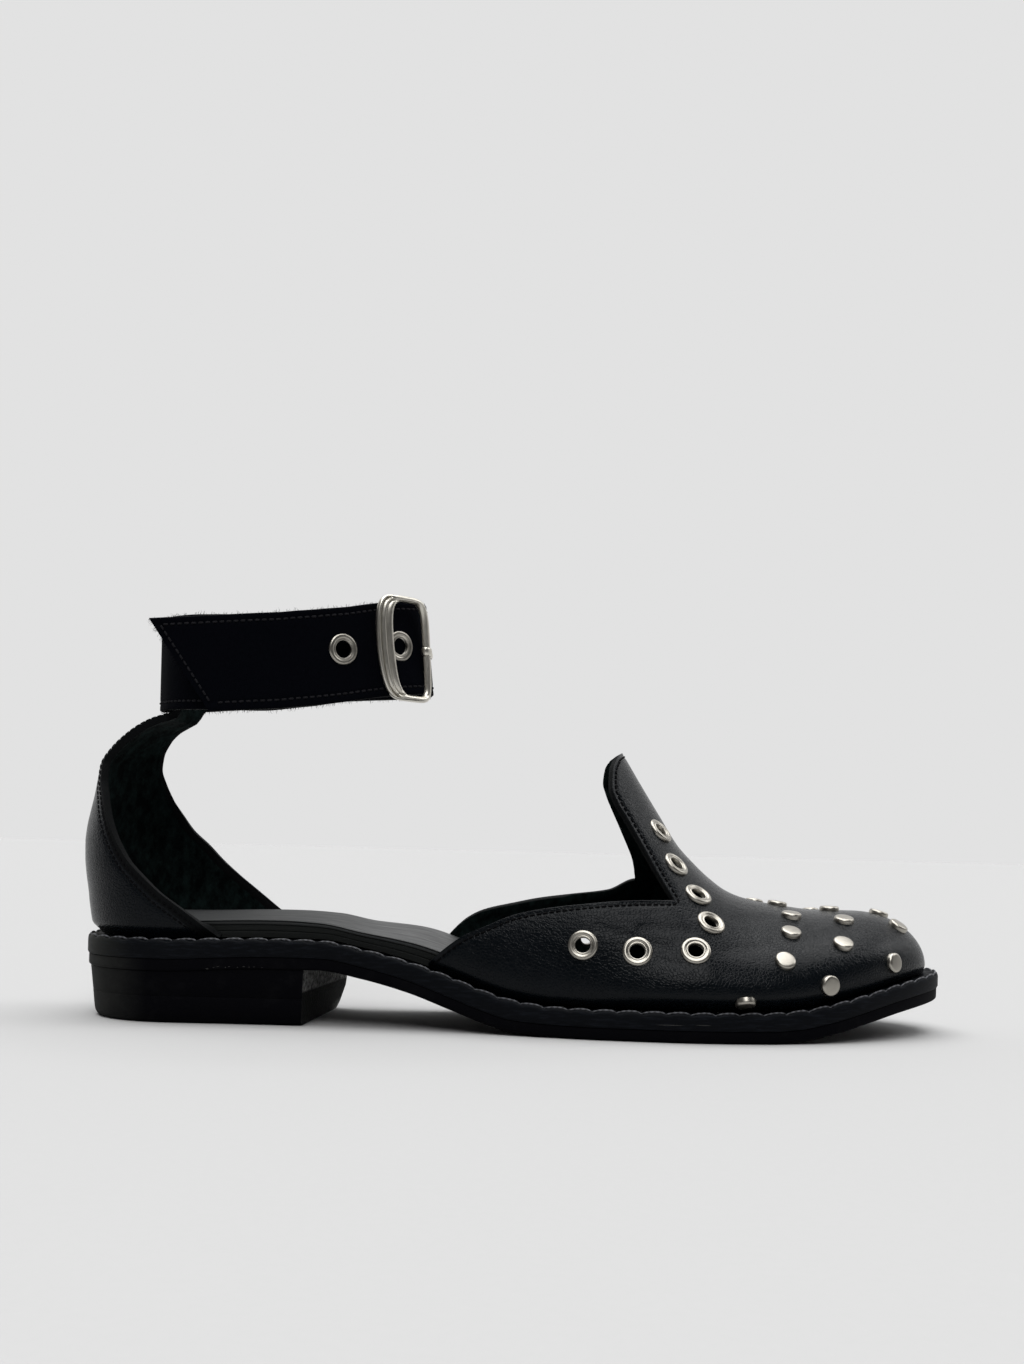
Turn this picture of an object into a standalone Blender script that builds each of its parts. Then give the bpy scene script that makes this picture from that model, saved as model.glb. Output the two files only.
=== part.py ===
"""Right shoe: a black leather flat with an open waist, a high vamp tab and an ankle strap.

Frame: +X to the toe, +Y to the inner (medial) side of the foot, +Z up. The origin is on the floor
under the middle of the shoe. Sizes and tables are in millimetres, and MM turns them into metres.
"""

from bisect import bisect_right
from collections import namedtuple
from math import acos, asin, copysign, cos, exp, pi, radians, sin

import bmesh
import bpy
from mathutils import Matrix, Vector

MM = 0.001
GAP = 0.3  # clearance between pieces that meet

# Sole. A row is one section across the shoe: its lateral and medial edge, and the heights of the top
# of the welt and of the tread.
HEEL_END = -127.2
TOE_TIP = 129.2
TOE_REACH = 42.0  # length over which the toe outline rounds off
HEEL_REACH = 29.0
END_FULLNESS = 2.2  # 2 is an ellipse, more is squarer
OUTSOLE_THICKNESS = 3.3
WELT_MARGIN = 4.0  # how far the welt stands out past the upper
SOLE_BEVEL = 0.8
SOLE_STEPS = 36
SoleRow = namedtuple("SoleRow", "x lateral medial top tread")
SOLE = (
    SoleRow(-129, -29.5, 29.5, 23.9, 14.9),
    SoleRow(-100, -30.0, 30.0, 23.9, 14.9),
    SoleRow(-70, -29.6, 28.4, 24.6, 16.1),
    SoleRow(-55, -29.8, 26.8, 24.4, 16.1),
    SoleRow(-43, -30.6, 25.2, 22.4, 14.1),
    SoleRow(-30, -31.8, 24.5, 19.4, 10.8),
    SoleRow(-17, -33.8, 25.3, 15.3, 6.2),
    SoleRow(-8, -35.5, 26.8, 12.0, 3.0),
    SoleRow(0, -37.2, 28.8, 9.8, 0.9),
    SoleRow(12, -39.8, 32.6, 8.4, 0.2),
    SoleRow(25, -42.2, 36.6, 8.2, 0.0),
    SoleRow(50, -44.0, 42.2, 8.2, 0.0),
    SoleRow(70, -42.0, 44.0, 8.4, 0.0),
    SoleRow(80, -39.6, 43.6, 9.1, 0.6),
    SoleRow(90, -36.6, 42.6, 10.9, 2.5),
    SoleRow(100, -33.2, 41.2, 13.2, 5.1),
    SoleRow(112, -29.2, 39.4, 16.0, 8.0),
    SoleRow(124, -26.4, 37.6, 18.0, 10.0),
    SoleRow(131, -25.6, 37.0, 18.6, 10.8),
)

# Heel: a lift under the outsole and a top piece on the ground, cut off by a slanted breast.
BREAST_LATERAL = -59.4
BREAST_MEDIAL = -52.2
BREAST_LATERAL_SLOPE = 0.6  # how far the breast leans back at the ground
BREAST_MEDIAL_SLOPE = 3.6
HEEL_INSET = 1.0
TOP_PIECE_HEIGHT = 7.6
HEEL_TAPER = 1.6
HEEL_BEVEL = 1.6
HEEL_STEPS = 12

# Insole. A row gives its thickness at the lateral side, and the low arch that adds to it at the medial side.
WALL = 2.0
INSOLE_STEPS = 20
InsoleRow = namedtuple("InsoleRow", "x thickness arch")
INSOLE = (
    InsoleRow(-130, 4.6, 1.2),
    InsoleRow(-65, 5.0, 1.7),
    InsoleRow(-46, 4.3, 2.3),
    InsoleRow(-22, 5.4, 2.9),
    InsoleRow(0, 4.9, 2.0),
    InsoleRow(40, 4.4, 0.0),
    InsoleRow(131, 4.2, 0.0),
)

# Vamp. A row of the last gives the height of its ridge and how full the section is (2 is an ellipse).
NOSE_REACH = 21.0
RIDGE_SHIFT = 2.0  # the ridge lies towards the medial side
SIDE_BULGE = 1.4  # the sides swell out over the welt, most at this height over it
SIDE_BULGE_AT = 8.0
LastRow = namedtuple("LastRow", "x ridge fullness")
LAST = (
    LastRow(-26, 100.0, 1.8),
    LastRow(18, 99.0, 1.75),
    LastRow(27.5, 88.2, 1.72),
    LastRow(31.5, 82.0, 1.72),
    LastRow(37.3, 72.6, 1.74),
    LastRow(43.0, 63.6, 1.78),
    LastRow(48.8, 54.6, 1.85),
    LastRow(53.1, 50.0, 1.9),
    LastRow(57.8, 45.6, 1.96),
    LastRow(63.7, 41.4, 2.04),
    LastRow(68.6, 39.4, 2.1),
    LastRow(73.2, 38.3, 2.15),
    LastRow(82.4, 36.9, 2.22),
    LastRow(91.6, 36.0, 2.28),
    LastRow(110, 35.9, 2.35),
    LastRow(126, 35.6, 2.35),
)
ToplineRow = namedtuple("ToplineRow", "x lateral medial")
TOPLINE = (
    ToplineRow(-24.0, 19.0, 19.0),
    ToplineRow(-20.0, 23.0, 25.0),
    ToplineRow(-14.0, 27.4, 30.6),
    ToplineRow(-9.0, 29.7, 33.0),
    ToplineRow(0.0, 33.6, 35.2),
    ToplineRow(8.0, 35.5, 36.9),
    ToplineRow(18.0, 37.0, 38.3),
    ToplineRow(30.0, 38.3, 40.0),
    ToplineRow(38.6, 38.7, 43.8),
    ToplineRow(45.3, 38.8, 44.0),
)
# The tab, from the throat up: the ridge and the height and place of its two edges.
TabRow = namedtuple("TabRow", "ridge_x lateral_x lateral medial_x medial")
TAB = (
    TabRow(42.5, 45.3, 38.8, 38.6, 43.8),
    TabRow(41.0, 40.9, 46.1, 37.9, 49.5),
    TabRow(38.5, 36.1, 54.8, 34.3, 58.5),
    TabRow(36.3, 32.1, 61.6, 31.0, 65.5),
    TabRow(34.5, 29.1, 66.5, 28.6, 70.8),
    TabRow(33.0, 27.5, 71.1, 27.5, 74.4),
    TabRow(32.0, 27.9, 76.3, 28.2, 78.6),
    TabRow(31.5, 29.6, 80.4, 29.8, 80.9),
)
SLOPE_STEP = 0.02  # how far apart the points lie that give a slope
WING_COLUMNS = 5
TAB_COLUMNS = 12
WING_STEPS = 9
FRONT_STEPS = 18

# Heel counter and its neck. A row is a level: the back, the half width and depth of its U, and the
# place of its lateral and medial front edge.
CounterRow = namedtuple("CounterRow", "z back half depth lateral medial")
COUNTER = (
    CounterRow(24.2, -125.2, 26.4, 26.6, -84.0, -66.5),
    CounterRow(27.5, -126.6, 27.2, 27.2, -88.0, -70.5),
    CounterRow(32.0, -127.4, 27.8, 27.8, -94.0, -76.3),
    CounterRow(37.0, -128.0, 28.0, 28.0, -101.0, -82.6),
    CounterRow(41.5, -128.7, 28.0, 28.0, -106.2, -88.3),
    CounterRow(46.2, -129.2, 27.8, 28.0, -111.1, -93.6),
    CounterRow(50.9, -129.3, 27.4, 27.5, -114.4, -98.1),
    CounterRow(55.5, -128.9, 26.8, 27.0, -117.0, -103.1),
    CounterRow(60.2, -128.0, 26.0, 26.5, -119.2, -106.4),
    CounterRow(64.9, -127.0, 25.2, 26.0, -121.0, -109.4),
    CounterRow(69.7, -126.2, 24.6, 25.0, -122.6, -111.7),
    CounterRow(74.4, -125.4, 24.2, 24.5, -122.8, -113.1),
    CounterRow(79.2, -122.4, 24.0, 24.5, -119.9, -112.4),
    CounterRow(84.1, -117.4, 24.5, 25.5, -114.9, -109.9),
    CounterRow(87.0, -113.3, 24.0, 26.2, -110.5, -107.0),
    CounterRow(88.7, -109.7, 23.6, 26.4, -106.6, -104.2),
    CounterRow(89.5, -106.9, 23.6, 26.4, -103.9, -102.4),
    CounterRow(90.0, -105.6, 23.6, 26.4, -102.5, -101.2),
    CounterRow(91.0, -105.2, 23.6, 26.4, -102.0, -100.2),
    CounterRow(93.5, -105.2, 23.6, 26.4, -101.9, -98.8),
    CounterRow(97.0, -105.2, 23.6, 26.4, -101.8, -98.0),
    CounterRow(110.5, -105.2, 23.6, 26.4, -101.8, -98.0),
)
COUNTER_WALL = 2.2
COUNTER_COLUMNS = 14

# Ankle strap: one band that starts at the buckle, runs round the heel and back through the buckle.
STRAP_WIDTH = 27.3
STRAP_THICKNESS = 2.4
STRAP_START = -36.0  # degrees round the loop, 0 at the front, -90 on the lateral side
STRAP_STRAIGHT = -457.0  # where the free end leaves the loop and runs straight
OVERLAP_FROM = -300.0
OVERLAP_FULL = -362.0
FREE_END_TOP = 30.7
FREE_END_BOTTOM = 12.9
FREE_END_DROOP = 0.07  # how far it sinks for each millimetre along
STRAP_DEGREES = 6.0
# The loop in plan, at the middle of the band's inner layer: the buckle flattens its lateral front.
LoopRow = namedtuple("LoopRow", "angle x y")
LOOP = (
    LoopRow(-360, -32.3, 4.6),
    LoopRow(-345, -34.4, 10.2),
    LoopRow(-328, -38.6, 16.2),
    LoopRow(-310, -46.0, 21.8),
    LoopRow(-291, -56.0, 25.5),
    LoopRow(-264, -74.0, 27.2),
    LoopRow(-236, -92.0, 23.3),
    LoopRow(-208, -103.0, 12.8),
    LoopRow(-180, -107.2, 0.0),
    LoopRow(-152, -103.0, -12.8),
    LoopRow(-124, -92.0, -23.3),
    LoopRow(-96, -74.0, -27.4),
    LoopRow(-80, -65.0, -27.0),
    LoopRow(-68, -57.5, -24.6),
    LoopRow(-56, -49.8, -19.9),
    LoopRow(-44, -42.6, -14.6),
    LoopRow(-34, -37.2, -10.2),
    LoopRow(-24, -33.4, -5.9),
    LoopRow(-12, -31.7, -0.6),
    LoopRow(0, -32.3, 4.6),
)
RiseRow = namedtuple("RiseRow", "angle middle")
STRAP_RISE = (
    RiseRow(-457, 103.2),
    RiseRow(-445, 103.7),
    RiseRow(-433, 104.8),
    RiseRow(-421, 106.4),
    RiseRow(-409, 108.4),
    RiseRow(-397, 110.0),
    RiseRow(-375, 111.4),
    RiseRow(-320, 111.9),
    RiseRow(-270, 111.0),
    RiseRow(-225, 106.6),
    RiseRow(-180, 104.4),
    RiseRow(-140, 103.7),
    RiseRow(-97, 103.2),
    RiseRow(-73, 104.8),
    RiseRow(-49, 108.4),
    RiseRow(-36, 110.0),
)

# Eyelets: a flange on the outside of the leather and a barrel through its hole. A vamp row is a place
# on each side, with its angle over the last in degrees.
EYELET_RADIUS = 4.25
EYELET_BORE = 2.15
EYELET_BARREL = 0.4
EYELET_RISE = 0.9
EYELET_RIM = 0.25
EYELET_CROWN = 0.55  # where the flange is highest, as a share from its bore to its edge
EYELET_SIDES = 12
EYELET_SEAT = 0.5  # gap under the flange, which is flat on a curved vamp
DRILL_DEPTH = 6.0
VampEyelet = namedtuple("VampEyelet", "lateral_x lateral medial_x medial")
VAMP_EYELETS = (
    VampEyelet(19.3, 13.7, 23.4, 168.4),
    VampEyelet(34.4, 16.6, 36.6, 163.2),
    VampEyelet(50.5, 23.9, 50.5, 156.1),
    VampEyelet(55.5, 39.2, 55.5, 140.8),
    VampEyelet(52.4, 49.7, 52.4, 130.3),
    VampEyelet(46.2, 54.7, 46.2, 125.3),
    VampEyelet(41.8, 62.3, 41.8, 117.7),
)
STRAP_EYELET_RADIUS = 4.5
STRAP_EYELET_BORE = 2.5
STRAP_EYELET_RISE = 0.6
STRAP_EYELET_SEAT = 0.2
StrapEyelet = namedtuple("StrapEyelet", "angle above")
STRAP_EYELETS = (
    StrapEyelet(-421.2, 1.5),
    StrapEyelet(-396.0, 0.6),
)

# Flat studs in three rows over the toe.
STUD_RADIUS = 2.95
STUD_FLAT = 2.3
STUD_HEIGHT = 1.3
STUD_RIM = 0.7
STUD_SIDES = 12
ToeStud = namedtuple("ToeStud", "x angle")
TOE_STUDS = (
    ToeStud(63.9, 5.3),
    ToeStud(75.7, 26.5),
    ToeStud(79.2, 46.2),
    ToeStud(81.2, 64.2),
    ToeStud(79.8, 87.0),
    ToeStud(74.8, 105.0),
    ToeStud(68.5, 130.0),
    ToeStud(62.0, 173.0),
    ToeStud(88.5, 10.0),
    ToeStud(93.9, 36.9),
    ToeStud(97.0, 61.6),
    ToeStud(96.2, 88.0),
    ToeStud(93.5, 112.0),
    ToeStud(89.0, 138.0),
    ToeStud(83.0, 169.0),
    ToeStud(109.5, 15.3),
    ToeStud(114.5, 61.0),
    ToeStud(111.6, 88.0),
    ToeStud(108.0, 128.0),
    ToeStud(103.5, 163.0),
)

# Buckle: a bent frame with convex sides, and a prong that turns on its front bar.
BUCKLE_ANGLE = -394.0
BUCKLE_MIDDLE = 109.9
BUCKLE_LIFT = 1.1  # clear of the eyelet under its rear bar
BUCKLE_HALF_LENGTH = 8.6
BUCKLE_HALF_HEIGHT = 15.3
BUCKLE_FULLNESS = 5.0
BUCKLE_LEAN = 0.14  # how far it leans back for each millimetre up
BUCKLE_THICKNESS = 1.7
BUCKLE_SHOULDER = 1.0
REAR_BAR = 4.6
REAR_BOW = 1.8  # how far the rear bar bows out, on its outer and on its inner side
INNER_BOW = 0.8
FRONT_BAR = 2.2
SIDE_BAR = 1.9
CROWN_FROM = 0.3  # the flat crown of a bar, as shares of its width
CROWN_TO = 0.7
BUCKLE_STEPS = 32
BUCKLE_WALK = 24  # small steps along the bent strap
# A row of the prong is a section: where its lower and upper edge are along the strap from the front
# bar, how high they lie over the strap, and half its width.
ProngRow = namedtuple("ProngRow", "low_at low high_at high half")
PRONG = (
    ProngRow(-2.4, 0.5, -2.4, 3.0, 1.9),
    ProngRow(-1.4, 0.5, -1.7, 3.5, 1.9),
    ProngRow(-1.4, 3.1, -1.1, 3.6, 1.9),
    ProngRow(1.4, 3.1, 1.1, 3.6, 1.9),
    ProngRow(1.4, 0.6, 1.9, 3.1, 1.9),
    ProngRow(2.9, 0.6, 2.9, 2.0, 1.3),
    ProngRow(5.0, 0.6, 5.0, 1.9, 1.2),
    ProngRow(7.5, 0.6, 7.5, 1.8, 1.2),
    ProngRow(10.0, 0.6, 10.0, 1.7, 1.1),
    ProngRow(12.5, 0.6, 12.3, 1.5, 0.8),
)


def smooth(table, x):
    """The table's row at x, on a smooth curve that never overshoots its rows."""
    xs = [row[0] for row in table]
    x = min(max(x, xs[0]), xs[-1])
    i = min(bisect_right(xs, x), len(xs) - 1) - 1
    values = [x]
    for column in range(1, len(table[0])):
        ys = [row[column] for row in table]
        slopes = [(ys[k + 1] - ys[k]) / (xs[k + 1] - xs[k]) for k in range(len(xs) - 1)]

        def tangent(k):
            if k == 0 or k == len(xs) - 1:
                return slopes[min(k, len(slopes) - 1)]
            before, after = slopes[k - 1], slopes[k]
            return 0.0 if before * after <= 0 else 2 * before * after / (before + after)

        step = xs[i + 1] - xs[i]
        t = (x - xs[i]) / step
        values.append(
            (2 * t**3 - 3 * t**2 + 1) * ys[i]
            + (t**3 - 2 * t**2 + t) * step * tangent(i)
            + (3 * t**2 - 2 * t**3) * ys[i + 1]
            + (t**3 - t**2) * step * tangent(i + 1)
        )
    return type(table[0])(*values)


def blend(start, end, share):
    return start + (end - start) * share


def eased(share):
    """0 to 1, slow at both ends."""
    share = min(max(share, 0.0), 1.0)
    return share * share * (3 - 2 * share)


def round_end(distance, reach, fullness=END_FULLNESS):
    """Share of the full size that is left at a distance from an end that rounds off over a reach."""
    if distance >= reach:
        return 1.0
    return (1 - (1 - max(distance, 0.0) / reach) ** fullness) ** (1 / fullness)


# Materials

def material(name, colour, roughness, metallic=0.0):
    made = bpy.data.materials.new(name)
    made.use_nodes = True
    shader = made.node_tree.nodes["Principled BSDF"]
    shader.inputs["Base Color"].default_value = (*colour, 1.0)
    shader.inputs["Roughness"].default_value = roughness
    shader.inputs["Metallic"].default_value = metallic
    return made


for old in list(bpy.data.objects):
    bpy.data.objects.remove(old)

shoe = bpy.data.collections.new("ankle_strap_flat")
cutters = bpy.data.collections.new("cutters")
bpy.context.scene.collection.children.link(shoe)
bpy.context.scene.collection.children.link(cutters)

LEATHER = material("black_leather", (0.006, 0.0065, 0.007), 0.42)
STRAP_LEATHER = material("strap_leather", (0.006, 0.006, 0.007), 0.48)
INSOLE_LEATHER = material("insole_leather", (0.012, 0.013, 0.013), 0.45)
WELT_LEATHER = material("welt_leather", (0.012, 0.012, 0.013), 0.55)
SOLE_RUBBER = material("sole_rubber", (0.009, 0.009, 0.010), 0.62)
HEEL_RUBBER = material("heel_rubber", (0.008, 0.008, 0.009), 0.66)
NICKEL = material("nickel", (0.62, 0.60, 0.56), 0.24, 1.0)


# Mesh helpers

def add_piece(name, vertices, faces, finish, collection=shoe, soft_edge=35):
    """A named object from points in millimetres, its faces turned outwards and smoothly shaded."""
    mesh = bpy.data.meshes.new(name)
    mesh.from_pydata([Vector(v) * MM for v in vertices], [], faces)
    shaped = bmesh.new()
    shaped.from_mesh(mesh)
    bmesh.ops.recalc_face_normals(shaped, faces=shaped.faces)
    shaped.to_mesh(mesh)
    shaped.free()
    mesh.shade_smooth()
    mesh.set_sharp_from_angle(angle=radians(soft_edge))
    mesh.materials.append(finish)
    piece = bpy.data.objects.new(name, mesh)
    collection.objects.link(piece)
    return piece


def strip_faces(rows):
    """Quads between neighbouring rows of vertex numbers."""
    faces = []
    for lower, upper in zip(rows, rows[1:]):
        for k in range(len(lower) - 1):
            faces.append((lower[k], upper[k], upper[k + 1], lower[k + 1]))
    return faces


def in_metres(frame):
    return Matrix.Translation(frame.translation * MM) @ frame.to_3x3().to_4x4()


def turned(name, profile, sides, frame, finish):
    """A round piece: a profile of (radius, height), outer side from the top, turned about a frame's Z.

    A profile that starts off the axis is a ring, and closes on itself.
    """
    count = len(profile)
    ring = profile[0][0] > 0
    mesh = bpy.data.meshes.new(name)
    mesh.from_pydata(
        [(radius * MM, 0.0, height * MM) for radius, height in profile],
        [(k, (k + 1) % count) for k in range(count if ring else count - 1)],
        [],
    )
    mesh.materials.append(finish)
    piece = bpy.data.objects.new(name, mesh)
    piece.matrix_world = in_metres(frame)
    shoe.objects.link(piece)
    turn = piece.modifiers.new("turn", "SCREW")
    turn.steps = sides
    turn.render_steps = sides
    turn.use_merge_vertices = True
    turn.merge_threshold = 0.00001
    return piece


def drill(piece, frames, radius, depth, sides):
    """Round holes through a piece, each along the Z of its frame."""
    bits = bmesh.new()
    for frame in frames:
        bmesh.ops.create_cone(
            bits,
            cap_ends=True,
            segments=sides,
            radius1=radius * MM,
            radius2=radius * MM,
            depth=depth * MM,
            matrix=in_metres(frame),
        )
    mesh = bpy.data.meshes.new(piece.name + "_holes")
    bits.to_mesh(mesh)
    bits.free()
    cutter = bpy.data.objects.new(mesh.name, mesh)
    cutter.hide_render = True
    cutter.display_type = "WIRE"
    cutters.objects.link(cutter)
    cut = piece.modifiers.new("holes", "BOOLEAN")
    cut.operation = "DIFFERENCE"
    cut.object = cutter


def facing(origin, normal, along):
    """A frame at origin with Z along the normal and X near another direction."""
    z = normal.normalized()
    y = z.cross(along).normalized()
    x = y.cross(z)
    return Matrix.Translation(origin) @ Matrix((x, y, z)).transposed().to_4x4()


# Sole outline and heights

def welt_top(x):
    return smooth(SOLE, x).top


def tread(x):
    return smooth(SOLE, x).tread


def sole_edges(x, inset=0.0):
    row = smooth(SOLE, x)
    middle = (row.lateral + row.medial) / 2
    half = (row.medial - row.lateral) / 2 - inset
    half *= round_end(TOE_TIP - inset - x, TOE_REACH - inset)
    half *= round_end(x - HEEL_END - inset, HEEL_REACH - inset)
    return middle - half, middle + half


def outline(inset, steps, lateral_end=None, medial_end=None):
    """Points round the sole: heel, lateral side, toe (or heel breast), medial side."""
    start = HEEL_END + inset
    tip = TOE_TIP - inset
    whole = lateral_end is None
    points = [(start, sum(sole_edges(start, inset)) / 2)]
    for k in range(1, steps if whole else steps + 1):
        share = (1 - cos(pi * k / steps)) / 2 if whole else 1 - cos(pi / 2 * k / steps)
        x = blend(start, tip if whole else lateral_end, share)
        points.append((x, sole_edges(x, inset)[0]))
    if whole:
        points.append((tip, sum(sole_edges(tip, inset)) / 2))
    for k in range(steps - 1 if whole else steps, 0, -1):
        share = (1 - cos(pi * k / steps)) / 2 if whole else 1 - cos(pi / 2 * k / steps)
        x = blend(start, tip if whole else medial_end, share)
        points.append((x, sole_edges(x, inset)[1]))
    return points


def stacked(name, levels, finish):
    """A slab from matching loops, lowest first, closed across from its lateral to its medial side."""
    count = len(levels[0])
    vertices = [point for level in levels for point in level]
    rows = [[k * count + i for i in range(count)] for k in range(len(levels))]
    faces = strip_faces([row + row[:1] for row in rows])
    for row in (rows[0], rows[-1]):
        for k in range((count - 1) // 2 + 1):
            across = [row[k], row[k + 1], row[-k - 1], row[-k]]
            corners = list(dict.fromkeys(across))
            if len(corners) > 2:
                faces.append(tuple(corners))
    return add_piece(name, vertices, faces, finish)


def slab(name, low, high, inset, finish):
    """A sole layer that follows the outline, between two height functions of x."""
    levels = []
    for extra, height in (
        (SOLE_BEVEL, low),
        (0.0, lambda x: low(x) + SOLE_BEVEL),
        (0.0, lambda x: high(x) - SOLE_BEVEL),
        (SOLE_BEVEL, high),
    ):
        levels.append([(x, y, height(x)) for x, y in outline(inset + extra, SOLE_STEPS)])
    return stacked(name, levels, finish)


slab("outsole", tread, lambda x: tread(x) + OUTSOLE_THICKNESS, 0.4, SOLE_RUBBER)
slab("welt", lambda x: tread(x) + OUTSOLE_THICKNESS + GAP, welt_top, 0.0, WELT_LEATHER)


def heel_level(inset, down, height):
    """A loop of the heel, where down is 0 at its top and 1 at the ground."""
    lateral_end = BREAST_LATERAL - down * BREAST_LATERAL_SLOPE
    medial_end = BREAST_MEDIAL - down * BREAST_MEDIAL_SLOPE
    loop = outline(inset, HEEL_STEPS, lateral_end, medial_end)
    return [(x, y, height(x)) for x, y in loop]


def heel_block(name, low, high, low_inset, high_inset, low_down, high_down, bevel, finish):
    levels = [heel_level(low_inset + bevel, low_down, low)]
    levels.append(heel_level(low_inset, low_down, lambda x: low(x) + bevel))
    levels.append(heel_level(high_inset, high_down, high))
    return stacked(name, levels, finish)


HEEL_SPLIT = 0.5  # share of the way down at which the lift meets the top piece
heel_block(
    "heel_top_piece",
    lambda x: 0.0,
    lambda x: TOP_PIECE_HEIGHT,
    HEEL_INSET + HEEL_TAPER,
    HEEL_INSET + HEEL_TAPER * HEEL_SPLIT,
    1.0,
    HEEL_SPLIT,
    HEEL_BEVEL,
    HEEL_RUBBER,
)
heel_block(
    "heel_lift",
    lambda x: TOP_PIECE_HEIGHT + GAP,
    lambda x: tread(x) - GAP,
    HEEL_INSET + HEEL_TAPER * HEEL_SPLIT,
    HEEL_INSET,
    HEEL_SPLIT,
    0.0,
    SOLE_BEVEL / 2,
    HEEL_RUBBER,
)


# Insole, inside the upper's wall

def insole_top(x, y):
    lateral, medial = sole_edges(x, WELT_MARGIN)
    across = (y - lateral) / max(medial - lateral, 1.0)
    row = smooth(INSOLE, x)
    return welt_top(x) + GAP + row.thickness + row.arch * eased(across)


INSOLE_INSET = WELT_MARGIN + max(WALL, COUNTER_WALL) + 2 * GAP
insole_loop = outline(INSOLE_INSET, INSOLE_STEPS)
stacked(
    "insole",
    [
        [(x, y, welt_top(x) + GAP) for x, y in insole_loop],
        [(x, y, insole_top(x, y)) for x, y in insole_loop],
    ],
    INSOLE_LEATHER,
)


# Vamp: an arched surface over the last, cut along the topline and the tab

UPPER_TIP = TOE_TIP - WELT_MARGIN


def vamp_section(x):
    lateral, medial = sole_edges(x, WELT_MARGIN)
    row = smooth(LAST, x)
    base = welt_top(x) + GAP
    height = (row.ridge - base) * round_end(UPPER_TIP - x, NOSE_REACH, 2.0)
    ridge_y = (lateral + medial) / 2 + RIDGE_SHIFT * round_end(UPPER_TIP - x, TOE_REACH)
    return lateral, medial, ridge_y, base, height, row.fullness


def vamp_point(x, angle):
    """Point on the outside of the vamp: angle 0 at the lateral base, pi at the medial base."""
    lateral, medial, ridge_y, base, height, fullness = vamp_section(x)
    edge = lateral if angle < pi / 2 else medial
    y = blend(ridge_y, edge, abs(cos(angle)) ** (2 / fullness))
    rise = height * max(sin(angle), 0.0) ** (2 / fullness)
    swell = rise / SIDE_BULGE_AT * exp(1 - rise / SIDE_BULGE_AT)
    return Vector((x, y - cos(angle) * SIDE_BULGE * swell, base + rise))


def vamp_angle(x, z, medial_side=False):
    """Angle at which the section at x reaches the height z."""
    _, _, _, base, height, fullness = vamp_section(x)
    share = min(max((z - base) / height, 0.0), 1.0)
    angle = asin(share ** (fullness / 2))
    return pi - angle if medial_side else angle


def vamp_frame(x, angle, lift):
    """A frame on the vamp, lifted along its normal, with X towards the toe."""
    along = vamp_point(x + SLOPE_STEP, angle) - vamp_point(x - SLOPE_STEP, angle)
    across = vamp_point(x, angle + SLOPE_STEP) - vamp_point(x, angle - SLOPE_STEP)
    normal = along.cross(across).normalized()
    return facing(vamp_point(x, angle) + lift * normal, normal, along)


def vamp_rows():
    """Vertices and faces of the vamp's outer surface: front arch, two wings and the tab."""
    vertices = []

    def add(x, angle):
        vertices.append(vamp_point(x, angle))
        return len(vertices) - 1

    throat = TAB[0]
    lateral_angle = vamp_angle(throat.lateral_x, throat.lateral)
    medial_angle = vamp_angle(throat.medial_x, throat.medial, True)

    def arch(row, columns):
        """Points of (x, angle) from the lateral to the medial edge of a tab row, over the ridge."""
        low = vamp_angle(row.lateral_x, row.lateral)
        high = vamp_angle(row.medial_x, row.medial, True)
        points = []
        for k in range(columns + 1):
            share = k / columns
            side = abs(2 * share - 1)
            edge_x = row.lateral_x if share < 0.5 else row.medial_x
            edge_angle = low if share < 0.5 else high
            points.append((blend(row.ridge_x, edge_x, side**2), blend(pi / 2, edge_angle, side)))
        return points

    def full_row(points):
        """A front row: the wing columns below the throat, then the arch, then the other wing."""
        (first_x, first), (last_x, last) = points[0], points[-1]
        row = [(first_x, first * k / WING_COLUMNS) for k in range(WING_COLUMNS)]
        row += points
        for k in range(1, WING_COLUMNS + 1):
            row.append((last_x, blend(last, pi, k / WING_COLUMNS)))
        return row

    corner = full_row(arch(throat, TAB_COLUMNS))
    front = [[add(x, angle) for x, angle in corner]]
    for step in range(1, FRONT_STEPS):
        share = sin(pi / 2 * step / FRONT_STEPS)
        row = []
        for x, angle in corner:
            row.append(add(blend(x, UPPER_TIP, share), angle))
        front.append(row)
    tip = add(UPPER_TIP, 0.0)
    faces = strip_faces(front)
    for k in range(len(corner) - 1):
        faces.append((front[-1][k], tip, front[-1][k + 1]))

    for medial_side in (False, True):
        end_x = throat.medial_x if medial_side else throat.lateral_x
        rows = []
        for step in range(WING_STEPS):
            x = blend(TOPLINE[0].x, end_x, step / WING_STEPS)
            line = smooth(TOPLINE, x)
            top = vamp_angle(x, line.medial if medial_side else line.lateral, medial_side)
            start, stop = (top, pi) if medial_side else (0.0, top)
            rows.append([add(x, blend(start, stop, k / WING_COLUMNS)) for k in range(WING_COLUMNS + 1)])
        joint = front[0][-WING_COLUMNS - 1 :] if medial_side else front[0][: WING_COLUMNS + 1]
        faces += strip_faces(rows + [joint])

    rows = [front[0][WING_COLUMNS : WING_COLUMNS + TAB_COLUMNS + 1]]
    for row in TAB[1:]:
        rows.append([add(x, angle) for x, angle in arch(row, TAB_COLUMNS)])
    faces += strip_faces(rows[::-1])
    return vertices, faces


vamp = add_piece("vamp", *vamp_rows(), LEATHER)
shell = vamp.modifiers.new("wall", "SOLIDIFY")
shell.thickness = WALL * MM
shell.offset = -1
shell.use_even_offset = True


# Heel counter

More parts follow.
